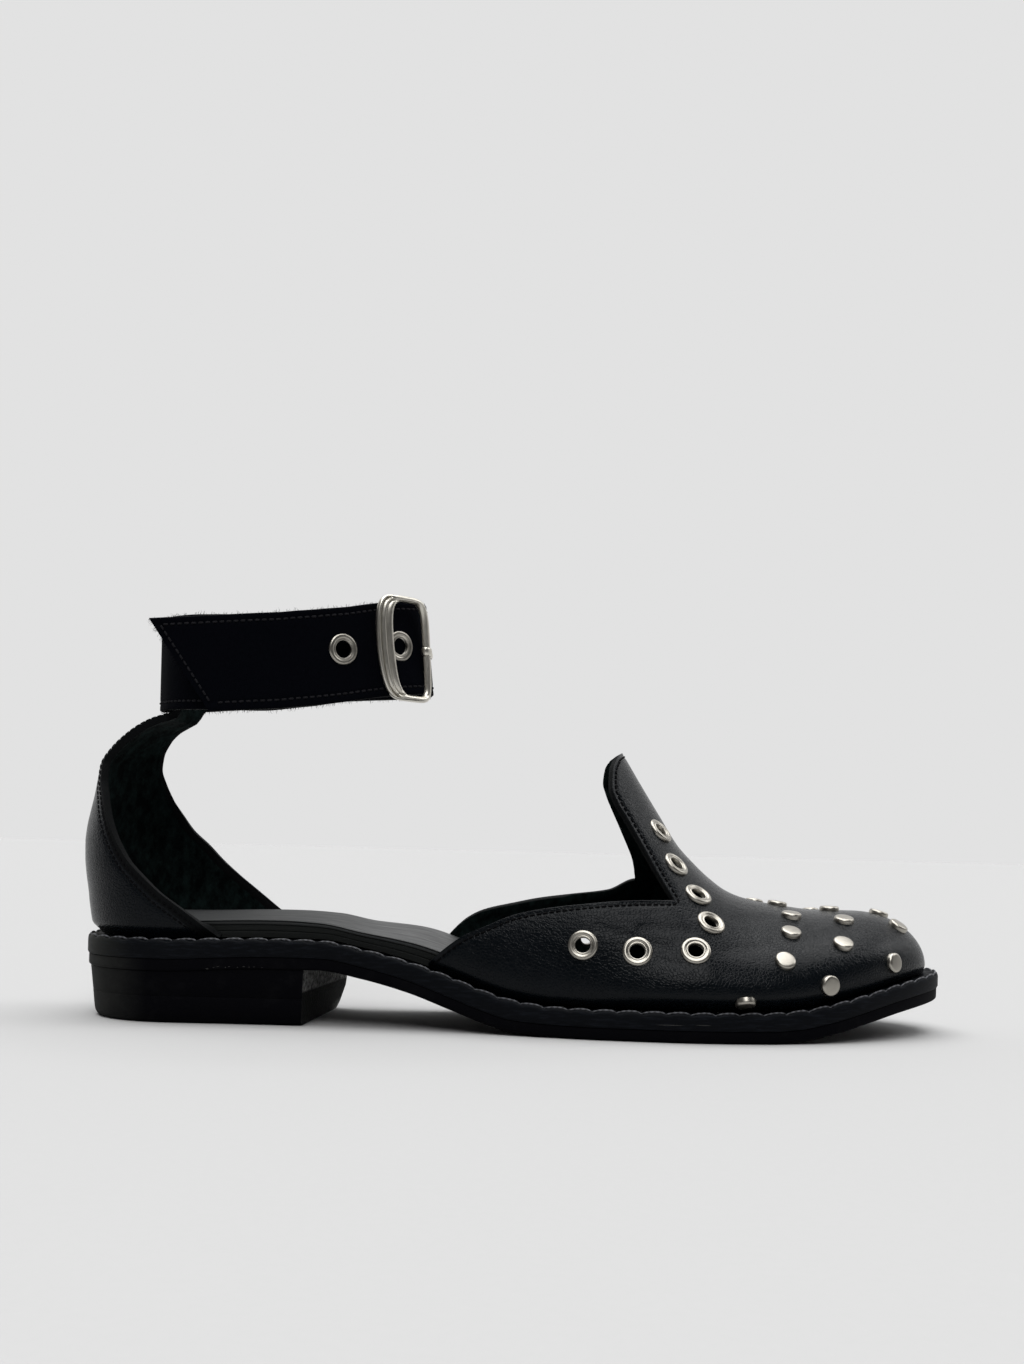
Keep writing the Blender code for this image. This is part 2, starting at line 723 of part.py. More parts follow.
def counter_point(z, share):
    """Point on the outside of the counter: share 0 at the lateral edge, 1 at the medial edge."""
    row = smooth(COUNTER, z)

    def reach(edge_x):
        deep = (edge_x - row.back) / row.depth
        return acos(1 - deep) if deep < 1 else pi / 2 + deep - 1

    turn = blend(-reach(row.lateral), reach(row.medial), share)
    bent = min(abs(turn), pi / 2)
    x = row.back + row.depth * (1 - cos(bent) + abs(turn) - bent)
    y = row.half * sin(bent) * (1 if turn > 0 else -1)
    return Vector((x, y, max(z, welt_top(x) + GAP)))


counter_vertices = []
counter_rows = []
for level in COUNTER:
    counter_rows.append([])
    for k in range(COUNTER_COLUMNS + 1):
        counter_rows[-1].append(len(counter_vertices))
        counter_vertices.append(counter_point(level.z, k / COUNTER_COLUMNS))
counter = add_piece("heel_counter", counter_vertices, strip_faces(counter_rows), LEATHER)
shell = counter.modifiers.new("wall", "SOLIDIFY")
shell.thickness = COUNTER_WALL * MM
shell.offset = -1
shell.use_even_offset = True


# Ankle strap

def loop_point(angle, offset):
    """Point and outward normal of the ankle loop in plan, at an angle in degrees."""
    def middle(turn):
        row = smooth(LOOP, turn - 360 if turn > 0 else turn + 360 if turn < -360 else turn)
        return Vector((row.x, row.y, 0.0))

    step = 1.0
    along = (middle(angle + step) - middle(angle - step)).normalized()
    normal = Vector((along.y, -along.x, 0.0))
    return middle(angle) + offset * normal, normal


def strap_offset(angle):
    """How far the band lies outside the loop: its free end goes over the start of the band."""
    return (STRAP_THICKNESS + 2 * GAP) * eased((OVERLAP_FROM - angle) / (OVERLAP_FROM - OVERLAP_FULL))


def strap_section(angle):
    place, normal = loop_point(angle, strap_offset(angle))
    return place, normal, smooth(STRAP_RISE, angle).middle


def strap_corners(place, normal, middle):
    out = normal * STRAP_THICKNESS / 2
    up = Vector((0, 0, STRAP_WIDTH / 2))
    centre = place + Vector((0, 0, middle))
    return centre - out - up, centre + out - up, centre + out + up, centre - out + up


strap_count = round((STRAP_START - STRAP_STRAIGHT) / STRAP_DEGREES)
strap_sections = []
for k in range(strap_count + 1):
    strap_sections.append(strap_corners(*strap_section(blend(STRAP_START, STRAP_STRAIGHT, k / strap_count))))
last_place, last_normal, last_middle = strap_section(STRAP_STRAIGHT)
backwards = Vector((last_normal.y, -last_normal.x, -FREE_END_DROOP))
below_in, below_out, above_out, above_in = strap_corners(last_place, last_normal, last_middle)
strap_sections.append(
    (
        below_in + backwards * FREE_END_BOTTOM,
        below_out + backwards * FREE_END_BOTTOM,
        above_out + backwards * FREE_END_TOP,
        above_in + backwards * FREE_END_TOP,
    )
)
strap_vertices = [corner for section in strap_sections for corner in section]
strap_rows = [[4 * i + k for k in (0, 1, 2, 3, 0)] for i in range(len(strap_sections))]
strap_faces = strip_faces(strap_rows)
strap_faces += [tuple(strap_rows[0][:4]), tuple(strap_rows[-1][:4])]
strap = add_piece("ankle_strap", strap_vertices, strap_faces, STRAP_LEATHER)


# Eyelets of the vamp and the strap

def eyelet_profile(radius, bore, rise, depth):
    """Section of an eyelet whose flange lies on the leather at height 0."""
    return (
        (blend(bore, radius, EYELET_CROWN), rise),
        (radius, EYELET_RIM),
        (radius, 0.0),
        (bore + EYELET_BARREL, 0.0),
        (bore + EYELET_BARREL, -depth),
        (bore, -depth),
        (bore, rise / 2),
    )


vamp_profile = eyelet_profile(EYELET_RADIUS, EYELET_BORE, EYELET_RISE, WALL + EYELET_SEAT)
hole_frames = []
for number, eyelet in enumerate(VAMP_EYELETS, 1):
    for side, x, angle in (
        ("lateral", eyelet.lateral_x, eyelet.lateral),
        ("medial", eyelet.medial_x, eyelet.medial),
    ):
        seat = vamp_frame(x, radians(angle), EYELET_SEAT)
        turned(f"vamp_eyelet_{side}_{number}", vamp_profile, EYELET_SIDES, seat, NICKEL)
        hole_frames.append(vamp_frame(x, radians(angle), -WALL / 2))
drill(vamp, hole_frames, EYELET_BORE + EYELET_BARREL + GAP, DRILL_DEPTH, EYELET_SIDES)

strap_profile = eyelet_profile(
    STRAP_EYELET_RADIUS,
    STRAP_EYELET_BORE,
    STRAP_EYELET_RISE,
    STRAP_THICKNESS + STRAP_EYELET_SEAT,
)
hole_frames = []
for number, eyelet in enumerate(STRAP_EYELETS, 1):
    place, normal, middle = strap_section(eyelet.angle)
    centre = place + Vector((0, 0, middle + eyelet.above))
    lift = STRAP_THICKNESS / 2 + STRAP_EYELET_SEAT
    seat = facing(centre + lift * normal, normal, Vector((0, 0, 1)))
    turned(f"strap_eyelet_{number}", strap_profile, EYELET_SIDES, seat, NICKEL)
    hole_frames.append(facing(centre, normal, Vector((0, 0, 1))))
hole = STRAP_EYELET_BORE + EYELET_BARREL + GAP
drill(strap, hole_frames, hole, STRAP_THICKNESS + GAP, EYELET_SIDES)


# Studs on the toe

stud_profile = (
    (0.0, STUD_HEIGHT),
    (STUD_FLAT, STUD_HEIGHT),
    (STUD_RADIUS, STUD_RIM),
    (STUD_RADIUS, 0.0),
    (0.0, 0.0),
)
for number, stud in enumerate(TOE_STUDS, 1):
    seat = vamp_frame(stud.x, radians(stud.angle), GAP)
    turned(f"toe_stud_{number:02d}", stud_profile, STUD_SIDES, seat, NICKEL)


# Buckle

def strap_outside(angle, lift):
    """Point over the outer face of the band in plan, at an angle in degrees."""
    return loop_point(angle, strap_offset(angle) + STRAP_THICKNESS / 2 + lift)[0]


def on_buckle(along, height, lift):
    """Point over the band: along it from the middle of the buckle, above that middle, and off it."""
    angle = BUCKLE_ANGLE
    distance = along - BUCKLE_LEAN * height
    for _ in range(BUCKLE_WALK):
        degree = strap_outside(angle + 0.5, 0.0) - strap_outside(angle - 0.5, 0.0)
        angle += distance / BUCKLE_WALK / degree.length
    return strap_outside(angle, lift) + Vector((0, 0, BUCKLE_MIDDLE + height))


def oval(half_length, half_height, turn):
    """Point of a rectangle with convex sides and round corners."""
    power = 2 / BUCKLE_FULLNESS
    along = half_length * copysign(abs(cos(turn)) ** power, cos(turn))
    return along, half_height * copysign(abs(sin(turn)) ** power, sin(turn))


def buckle_section(turn):
    """Section of the frame, from the foot of its outer side over its crown to its inner side."""
    outer_at, outer_up = oval(BUCKLE_HALF_LENGTH, BUCKLE_HALF_HEIGHT, turn)
    inner_half = BUCKLE_HALF_LENGTH - (REAR_BAR + FRONT_BAR) / 2
    inner_at, inner_up = oval(inner_half, BUCKLE_HALF_HEIGHT - SIDE_BAR, turn)
    inner_at += (REAR_BAR - FRONT_BAR) / 2
    if cos(turn) < 0:
        bow = 1 - (outer_up / BUCKLE_HALF_HEIGHT) ** 2
        outer_at -= REAR_BOW * bow
        inner_at -= INNER_BOW * bow
    corners = []
    for share, rise in (
        (0.0, 0.0),
        (0.0, BUCKLE_SHOULDER),
        (CROWN_FROM, BUCKLE_THICKNESS),
        (CROWN_TO, BUCKLE_THICKNESS),
        (1.0, BUCKLE_SHOULDER),
        (1.0, 0.0),
    ):
        at, up = blend(outer_at, inner_at, share), blend(outer_up, inner_up, share)
        corners.append(on_buckle(at, up, BUCKLE_LIFT + rise))
    return corners


sections = [buckle_section(2 * pi * k / BUCKLE_STEPS) for k in range(BUCKLE_STEPS)]
corners = len(sections[0])
rows = [[corners * i + k for k in range(corners)] + [corners * i] for i in range(BUCKLE_STEPS)]
frame_vertices = [point for section in sections for point in section]
add_piece("buckle_frame", frame_vertices, strip_faces(rows + rows[:1]), NICKEL)

sections = []
bar = BUCKLE_HALF_LENGTH - FRONT_BAR / 2
for row in PRONG:
    sections.append(
        (
            on_buckle(bar + row.low_at, -row.half, row.low),
            on_buckle(bar + row.low_at, row.half, row.low),
            on_buckle(bar + row.high_at, row.half, row.high),
            on_buckle(bar + row.high_at, -row.half, row.high),
        )
    )
rows = [[4 * i + k for k in (0, 1, 2, 3, 0)] for i in range(len(sections))]
prong_vertices = [point for section in sections for point in section]
prong_faces = strip_faces(rows) + [tuple(rows[0][:4]), tuple(rows[-1][:4])]
add_piece("buckle_prong", prong_vertices, prong_faces, NICKEL)
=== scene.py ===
"""Looks of a right ankle-strap flat: grained black leather, nickel eyelets and studs, a stitched welt.

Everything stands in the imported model's frame: +X to the toe, +Y to the inner side of the foot, +Z up.
Tables are in millimetres, as a pattern cutter would note them, and MM turns them into metres.
"""

import random
from bisect import bisect_right
from collections import namedtuple
from math import acos, asin, copysign, cos, exp, pi, radians, sin

import bmesh
import bpy
import numpy as np
from mathutils import Matrix, Vector
from mathutils.bvhtree import BVHTree


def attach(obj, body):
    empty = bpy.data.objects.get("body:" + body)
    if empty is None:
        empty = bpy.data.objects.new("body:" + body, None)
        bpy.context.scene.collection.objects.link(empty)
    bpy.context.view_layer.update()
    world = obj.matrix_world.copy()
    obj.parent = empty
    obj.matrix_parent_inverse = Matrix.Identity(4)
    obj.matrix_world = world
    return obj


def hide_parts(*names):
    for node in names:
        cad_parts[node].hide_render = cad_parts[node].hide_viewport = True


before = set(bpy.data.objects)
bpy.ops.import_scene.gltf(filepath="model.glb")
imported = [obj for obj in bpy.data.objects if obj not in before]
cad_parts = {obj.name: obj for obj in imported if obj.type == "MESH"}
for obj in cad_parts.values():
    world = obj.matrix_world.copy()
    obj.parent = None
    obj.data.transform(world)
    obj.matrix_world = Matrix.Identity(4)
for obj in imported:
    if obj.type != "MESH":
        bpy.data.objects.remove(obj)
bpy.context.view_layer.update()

MM = 0.001

# Studio: the camera at the photograph's place, a floor of pale seamless paper, and one broad soft
# light overhead. The room is dark on the camera's side, which keeps the black leather black, and its
# backdrop is as pale as the floor wherever it is looked at.
CAMERA_PLACE = (-1.1, -450.0, 51.8)
CAMERA_ROLL = 1.5  # degrees, the toe lower in the picture
IMAGE_HEIGHT = 1364
FOCAL_PIXELS = 1485
HORIZON_ROW = 850
SENSOR = 36.0
FLOOR_FAR = 60.0  # metres, far enough for its edge to meet the horizon
FLOOR_NEAR = 0.36  # the sheet ends under the lens, and a dark room lies behind
ROOM_BACK = 0.76
ROOM_FRONT = 0.06
ROOM_TURN = (-0.3, 0.75)  # where the room goes from dark to pale, as a heading's share of depth
SoftLight = namedtuple("SoftLight", "name towards spread strength")
SOFT_LIGHTS = (  # where each stands from the shoe, how many degrees wide it looks, and its strength
    SoftLight("overhead_softbox", (-0.05, 0.08, 1.0), 66.0, 3.2),
    SoftLight("front_softbox", (0.0, -0.69, 0.74), 34.0, 1.15),
    SoftLight("heel_side_softbox", (-0.8, 0.55, 0.3), 30.0, 0.1),
    SoftLight("toe_side_softbox", (0.8, 0.2, 0.62), 30.0, 0.6),
)
MIX_FACTOR, MIX_A, MIX_B, MIX_RESULT = 0, 6, 7, 2  # sockets of a colour mix


def to_linear(code):
    """Linear RGBA of an sRGB hex colour."""
    shares = [int(code[k : k + 2], 16) / 255 for k in (1, 3, 5)]
    linear = [c / 12.92 if c <= 0.04045 else ((c + 0.055) / 1.055) ** 2.4 for c in shares]
    return (*linear, 1.0)


def add(tree, kind, inputs, **settings):
    """A shader node with its settings, and with a value or a link for each input named."""
    node = tree.nodes.new("ShaderNode" + kind)
    for name, value in settings.items():
        setattr(node, name, value)
    for name, value in inputs.items():
        if isinstance(value, bpy.types.NodeSocket):
            tree.links.new(value, node.inputs[name])
        else:
            node.inputs[name].default_value = value
    return node


def finish(name, **sockets):
    """A new material with values on its shader's sockets; returns it, its nodes and the shader."""
    made = bpy.data.materials.new(name)
    made.use_nodes = True
    shader = made.node_tree.nodes["Principled BSDF"]
    for socket, value in sockets.items():
        shader.inputs[socket.replace("_", " ")].default_value = value
    return made, made.node_tree, shader


def per(size):
    """Texture scale for a feature of a size in millimetres."""
    return 1 / (size * MM)


lens = bpy.data.cameras.new("product_lens")
lens.sensor_width = SENSOR
lens.lens = FOCAL_PIXELS * SENSOR / IMAGE_HEIGHT
lens.shift_y = (HORIZON_ROW - IMAGE_HEIGHT / 2) / IMAGE_HEIGHT
camera = bpy.data.objects.new("product_camera", lens)
camera.matrix_world = (
    Matrix.Translation(Vector(CAMERA_PLACE) * MM)
    @ Matrix.Rotation(radians(90), 4, "X")
    @ Matrix.Rotation(radians(CAMERA_ROLL), 4, "Z")
)
bpy.context.scene.collection.objects.link(camera)
bpy.context.scene.camera = camera
bpy.context.scene.view_settings.view_transform = "Standard"

room = bpy.data.worlds.new("studio_room")
room.use_nodes = True
bpy.context.scene.world = room
tree = room.node_tree
heading = add(tree, "TexCoord", {})
parts = add(tree, "SeparateXYZ", {"Vector": heading.outputs["Generated"]})
depth = add(
    tree,
    "MapRange",
    {
        "Value": parts.outputs["Y"],
        "From Min": ROOM_TURN[0],
        "From Max": ROOM_TURN[1],
        "To Min": ROOM_FRONT,
        "To Max": ROOM_BACK,
    },
    interpolation_type="SMOOTHSTEP",
)
sight = add(tree, "LightPath", {})
backdrop = add(tree, "Mix", {0: sight.outputs["Is Camera Ray"], 2: depth.outputs[0], 3: ROOM_BACK})
tree.links.new(backdrop.outputs[0], tree.nodes["Background"].inputs["Strength"])
tree.nodes["Background"].inputs["Color"].default_value = (1.0, 1.0, 1.0, 1.0)

for box in SOFT_LIGHTS:
    light = bpy.data.lights.new(box.name, "SUN")
    light.angle = radians(box.spread)
    light.energy = box.strength
    lamp = bpy.data.objects.new(box.name, light)
    lamp.rotation_euler = Vector(box.towards).to_track_quat("Z", "Y").to_euler()
    bpy.context.scene.collection.objects.link(lamp)

# Matt paper: pale, even and without gloss, with a faint tooth.
paper, tree, shader = finish("seamless_paper", Roughness=0.95, Specular_IOR_Level=0.1)
place = add(tree, "TexCoord", {})
tooth = add(tree, "TexNoise", {"Vector": place.outputs["Object"], "Scale": per(2.0), "Detail": 2.0})
sheet = add(
    tree,
    "Mix",
    {MIX_FACTOR: tooth.outputs["Fac"], MIX_A: to_linear("#b1b1b1"), MIX_B: to_linear("#b3b3b3")},
    data_type="RGBA",
)
tree.links.new(sheet.outputs[MIX_RESULT], shader.inputs["Base Color"])
grid = bmesh.new()
bmesh.ops.create_grid(grid, x_segments=8, y_segments=8, size=FLOOR_FAR)
for corner in grid.verts:
    corner.co.y = (corner.co.y + FLOOR_FAR) / 2 - FLOOR_NEAR
mesh = bpy.data.meshes.new("paper_floor")
grid.to_mesh(mesh)
grid.free()
mesh.materials.append(paper)
floor = bpy.data.objects.new("paper_floor", mesh)
bpy.context.scene.collection.objects.link(floor)

# Outsole: one sheet of moulded black rubber from heel to toe, with toe spring and a raised waist. Its
# edge is trimmed by hand, and carries a few faint nicks.
HEEL_END = -127.2
TOE_TIP = 129.2
TOE_REACH = 42.0
HEEL_REACH = 29.0
END_FULLNESS = 2.2
OUTSOLE_THICKNESS = 3.3
GAP = 0.3
RING_POINTS = 720
SoleRow = namedtuple("SoleRow", "x lateral medial top tread")
SOLE = (
    SoleRow(-129, -29.5, 29.5, 23.9, 14.9),
    SoleRow(-100, -30.0, 30.0, 23.9, 14.9),
    SoleRow(-70, -29.6, 28.4, 24.6, 16.1),
    SoleRow(-55, -29.8, 26.8, 24.4, 16.1),
    SoleRow(-43, -30.6, 25.2, 22.4, 14.1),
    SoleRow(-30, -31.8, 24.5, 19.4, 10.8),
    SoleRow(-17, -33.8, 25.3, 15.3, 6.2),
    SoleRow(-8, -35.5, 26.8, 12.0, 3.0),
    SoleRow(0, -37.2, 28.8, 9.8, 0.9),
    SoleRow(12, -39.8, 32.6, 8.4, 0.2),
    SoleRow(25, -42.2, 36.6, 8.2, 0.0),
    SoleRow(50, -44.0, 42.2, 8.2, 0.0),
    SoleRow(70, -42.0, 44.0, 8.4, 0.0),
    SoleRow(80, -39.6, 43.6, 9.1, 0.6),
    SoleRow(90, -36.6, 42.6, 10.9, 2.5),
    SoleRow(100, -33.2, 41.2, 13.2, 5.1),
    SoleRow(112, -29.2, 39.4, 16.0, 8.0),
    SoleRow(124, -26.4, 37.6, 18.0, 10.0),
    SoleRow(131, -25.6, 37.0, 18.6, 10.8),
)


def smooth(table):
    """A function that gives the table's row at x, on a smooth curve that never overshoots."""
    xs = [row[0] for row in table]
    kind = type(table[0])
    columns = []
    for ys in list(zip(*table))[1:]:
        slopes = [(ys[k + 1] - ys[k]) / (xs[k + 1] - xs[k]) for k in range(len(xs) - 1)]
        tangents = [slopes[0]]
        for before, after in zip(slopes, slopes[1:]):
            tangents.append(0.0 if before * after <= 0 else 2 * before * after / (before + after))
        columns.append((ys, tangents + [slopes[-1]]))

    def at(x):
        x = min(max(x, xs[0]), xs[-1])
        i = min(bisect_right(xs, x), len(xs) - 1) - 1
        step = xs[i + 1] - xs[i]
        t = (x - xs[i]) / step
        rise = t * t * (3 - 2 * t)
        leave, arrive = t * (1 - t) ** 2 * step, t * t * (t - 1) * step
        return kind(
            x,
            *(
                ys[i] + (ys[i + 1] - ys[i]) * rise + leave * bends[i] + arrive * bends[i + 1]
                for ys, bends in columns
            ),
        )

    return at


sole_at = smooth(SOLE)


def blend(start, end, share):
    return start + (end - start) * share


def eased(share):
    """0 to 1, slow at both ends."""
    share = min(max(share, 0.0), 1.0)
    return share * share * (3 - 2 * share)


def round_end(distance, reach, fullness=END_FULLNESS):
    """Share of the full size that is left at a distance from an end that rounds off over a reach."""
    if distance >= reach:
        return 1.0
    return (1 - (1 - max(distance, 0.0) / reach) ** fullness) ** (1 / fullness)


def sole_edges(x, inset=0.0):
    row = sole_at(x)
    middle = (row.lateral + row.medial) / 2
    half = (row.medial - row.lateral) / 2 - inset
    half *= round_end(TOE_TIP - inset - x, TOE_REACH - inset)
    half *= round_end(x - HEEL_END - inset, HEEL_REACH - inset)
    return middle - half, middle + half


def even_outline(count):
    """Points evenly spaced round the sole from the heel over the lateral side, and their outward normals."""
    turns = [pi * k / (2 * count) for k in range(2 * count + 1)]
    xs = [blend(HEEL_END, TOE_TIP, (1 - cos(turn)) / 2) for turn in turns]
    points = [(x, sole_edges(x)[0]) for x in xs] + [(x, sole_edges(x)[1]) for x in xs[-2:0:-1]]
    points = np.array(points + points[:1])
    run = np.concatenate(([0.0], np.cumsum(np.hypot(*np.diff(points, axis=0).T))))
    marks = run[-1] * np.arange(count) / count
    ring = np.stack([np.interp(marks, run, points[:, k]) for k in (0, 1)], axis=1)
    along = np.roll(ring, -1, axis=0) - np.roll(ring, 1, axis=0)
    along /= np.hypot(*along.T)[:, None]
    return ring, np.stack([along[:, 1], -along[:, 0]], axis=1), run[-1]


SOLE_RING, SOLE_OUT, SOLE_GIRTH = even_outline(RING_POINTS)


def sole_ring(inset, height):
    """A loop inside the sole's edge, with heights from a function of x and of the point's number."""
    ring = SOLE_RING - inset * SOLE_OUT
    return [(x, y, height(x, k)) for k, (x, y) in enumerate(ring)]


def loft(rings):
    """Vertices and faces between closed rings of equal count."""
    count = len(rings[0])
    vertices = [point for ring in rings for point in ring]
    faces = []
    for lower in range(0, count * (len(rings) - 1), count):
        for k in range(count):
            after = (k + 1) % count
            faces.append((lower + k, lower + after, lower + count + after, lower + count + k))
    return vertices, faces


def across(first, count):
    """Faces that close a ring from one side to the other, starting at its end point."""
    faces = []
    for k in range(count // 2):
        ring = (k, k + 1, (count - k - 1) % count, (count - k) % count)
        faces.append(tuple(dict.fromkeys(first + i for i in ring)))
    return [face for face in faces if len(face) > 2]


def make_piece(name, vertices, faces, *materials, finish_of=None, soft_edge=40):
    """A smooth-shaded piece from points in millimetres, which rides on the shoe's one body."""
    mesh = bpy.data.meshes.new(name)
    mesh.from_pydata([tuple(c * MM for c in v) for v in vertices], [], faces)
    for material in materials:
        mesh.materials.append(material)
    if finish_of is not None:
        mesh.polygons.foreach_set("material_index", finish_of)
    shaped = bmesh.new()
    shaped.from_mesh(mesh)
    bmesh.ops.recalc_face_normals(shaped, faces=shaped.faces)
    shaped.to_mesh(mesh)
    shaped.free()
    mesh.shade_smooth()
    mesh.set_sharp_from_angle(angle=radians(soft_edge))
    piece = bpy.data.objects.new(name, mesh)
    bpy.context.scene.collection.objects.link(piece)
    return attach(piece, "root")


# Moulded rubber: matt, fine grit from the mould, greyer at random where it has rubbed; the back of the heel
# has a painted highlight, a paler grey mottled by the same noise.
rubber, tree, shader = finish("moulded_black_rubber", Specular_IOR_Level=0.04)
place = add(tree, "TexCoord", {})
rub = add(
    tree,
    "TexNoise",
    {"Vector": place.outputs["Object"], "Scale": per(9.0), "Detail": 6.0, "Roughness": 0.7},
)
rubbed = add(tree, "MapRange", {"Value": rub.outputs["Fac"], "From Min": 0.52, "From Max": 0.78})
tone = add(
    tree,
    "Mix",
    {MIX_FACTOR: rubbed.outputs[0], MIX_A: to_linear("#030306"), MIX_B: to_linear("#0e0e10")},
    data_type="RGBA",
)
at = add(tree, "SeparateXYZ", {"Vector": place.outputs["Object"]})
# Painted highlight: towards the back of the heel the rubber is mixed to a pale grey, mottled by the rub
# noise, for the light falling on its rounded end.
rear = add(
    tree,
    "MapRange",
    {"Value": at.outputs["X"], "From Min": -104.0 * MM, "From Max": -126.0 * MM, "To Max": 0.9},
)
worn = add(tree, "Math", {0: rear.outputs[0], 1: rub.outputs["Fac"]}, operation="MULTIPLY")
tone_with_painted_highlight = add(
    tree,
    "Mix",
    {MIX_FACTOR: worn.outputs[0], MIX_A: tone.outputs[MIX_RESULT], MIX_B: to_linear("#3e3f3c")},
    data_type="RGBA",
)
gloss = add(tree, "MapRange", {"Value": rub.outputs["Fac"], "To Min": 0.55, "To Max": 0.8})
grit = add(tree, "TexNoise", {"Vector": place.outputs["Object"], "Scale": per(0.5), "Detail": 3.0})
bump = add(tree, "Bump", {"Height": grit.outputs["Fac"], "Strength": 0.35, "Distance": 0.15 * MM})
tree.links.new(tone_with_painted_highlight.outputs[MIX_RESULT], shader.inputs["Base Color"])
tree.links.new(gloss.outputs[0], shader.inputs["Roughness"])
tree.links.new(bump.outputs["Normal"], shader.inputs["Normal"])

OUTSOLE_PROFILE = (  # inset from the welt's edge, and height over the tread
    (1.5, 0.0),
    (0.85, 0.1),
    (0.5, 0.4),
    (0.4, 0.8),
    (0.4, OUTSOLE_THICKNESS - 0.15),
    (0.5, OUTSOLE_THICKNESS + 0.1),
    (0.9, OUTSOLE_THICKNESS + 0.15),
)
rings = []
for inset, rise in OUTSOLE_PROFILE:
    rings.append(sole_ring(inset, lambda x, k: sole_at(x).tread + rise))
vertices, faces = loft(rings)
faces += across(0, RING_POINTS) + across(len(vertices) - RING_POINTS, RING_POINTS)
outsole = make_piece("rubber_outsole", vertices, faces, rubber)
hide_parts("outsole")

# Rubber dust: pale grey and chalky, in the small nicks of the edge.
dust, tree, shader = finish("chalky_rubber_dust", Roughness=0.95, Specular_IOR_Level=0.1)
place = add(tree, "TexCoord", {})
grain = add(tree, "TexNoise", {"Vector": place.outputs["Object"], "Scale": per(0.5), "Detail": 2.0})
tone = add(
    tree,
    "Mix",
    {MIX_FACTOR: grain.outputs["Fac"], MIX_A: to_linear("#181818"), MIX_B: to_linear("#464644")},
    data_type="RGBA",
)
tree.links.new(tone.outputs[MIX_RESULT], shader.inputs["Base Color"])

Nick = namedtuple("Nick", "x rise length height inset")
NICKS = (  # on the lateral edge: place along the shoe, height over the tread, size, and inset
    Nick(-87.0, 0.5, 0.9, 0.28, 0.4),
    Nick(-85.0, 0.8, 0.5, 0.22, 0.4),
    Nick(-83.9, 1.0, 0.8, 0.2, 0.4),
    Nick(-81.6, 0.7, 0.4, 0.28, 0.4),
    Nick(-80.7, 0.9, 0.6, 0.2, 0.4),
    Nick(-78.2, 0.6, 0.4, 0.2, 0.4),
    Nick(-76.6, 0.8, 0.7, 0.26, 0.4),
    Nick(-74.9, 0.6, 0.4, 0.3, 0.4),
    Nick(-73.6, 0.7, 0.6, 0.2, 0.4),
    Nick(-71.2, 0.5, 0.3, 0.24, 0.4),
    Nick(39.5, 5.0, 8.0, 0.2, 0.0),
    Nick(50.2, 5.2, 4.6, 0.18, 0.0),
)
NICK_STEPS = 6
NICK_PROUD = 0.06  # the dust stands this far off the rubber
vertices, faces = [], []
for nick in NICKS:
    first = len(vertices)
    for k in range(NICK_STEPS + 1):
        share = k / NICK_STEPS
        x = nick.x + nick.length * share
        z = sole_at(x).tread + nick.rise
        half = nick.height / 2 * (1 - (2 * share - 1) ** 2)
        y = sole_edges(x, nick.inset)[0]
        vertices += [(x, y, z - half), (x, y - NICK_PROUD, z), (x, y, z + half)]
    for low in range(first, first + 3 * NICK_STEPS, 3):
        faces += [(low, low + 3, low + 4, low + 1), (low + 1, low + 4, low + 5, low + 2)]
nicks = make_piece("sole_edge_nicks", vertices, faces, dust)

# Welt: a strip layer of black leather that stands 4 mm out past the upper. A sewing machine runs round
# it with thick waxed thread, and each stitch pulls the edge into a small scallop.
WELT_STITCH_PITCH = 6.75
WELT_STITCH_INSET = 0.8
WELT_DIP = 0.55
WELT_DIP_SHARPNESS = 6
WELT_THREAD = 0.52
WELT_THREAD_RISE = 0.2
ROUNDING = 0.99999  # keeps the last stitch of a closed row, which rounding could lose
WELT_PROFILE = (  # inset, share of the height, and how much of the stitches' dip it takes
    (0.7, 0.0, 0.0),
    (0.2, 0.03, 0.0),
    (0.0, 0.12, 0.0),
    (0.0, 0.72, 0.0),
    (0.06, 0.84, 0.25),
    (0.2, 0.94, 0.7),
    (0.5, 1.0, 1.0),
    (1.4, 1.0, 1.0),
    (2.6, 0.98, 0.3),
    (3.6, 0.94, 0.0),
)

# Waxed leather edge: dull black with a faint lengthwise polish and lighter worn fibres, turning a paler grey
# towards the back of the heel.
welt_edge, tree, shader = finish("waxed_welt_leather", Specular_IOR_Level=0.06)
place = add(tree, "TexCoord", {})
stretched = add(tree, "Mapping", {"Vector": place.outputs["Object"], "Scale": (0.12, 0.12, 1.0)})
fibre = add(
    tree,
    "TexNoise",
    {"Vector": stretched.outputs[0], "Scale": per(0.6), "Detail": 5.0, "Roughness": 0.65},
)
worn = add(tree, "MapRange", {"Value": fibre.outputs["Fac"], "From Min": 0.5, "From Max": 0.8})
tone = add(
    tree,
    "Mix",
    {MIX_FACTOR: worn.outputs[0], MIX_A: to_linear("#07090d"), MIX_B: to_linear("#191c22")},
    data_type="RGBA",
)
at = add(tree, "SeparateXYZ", {"Vector": place.outputs["Object"]})
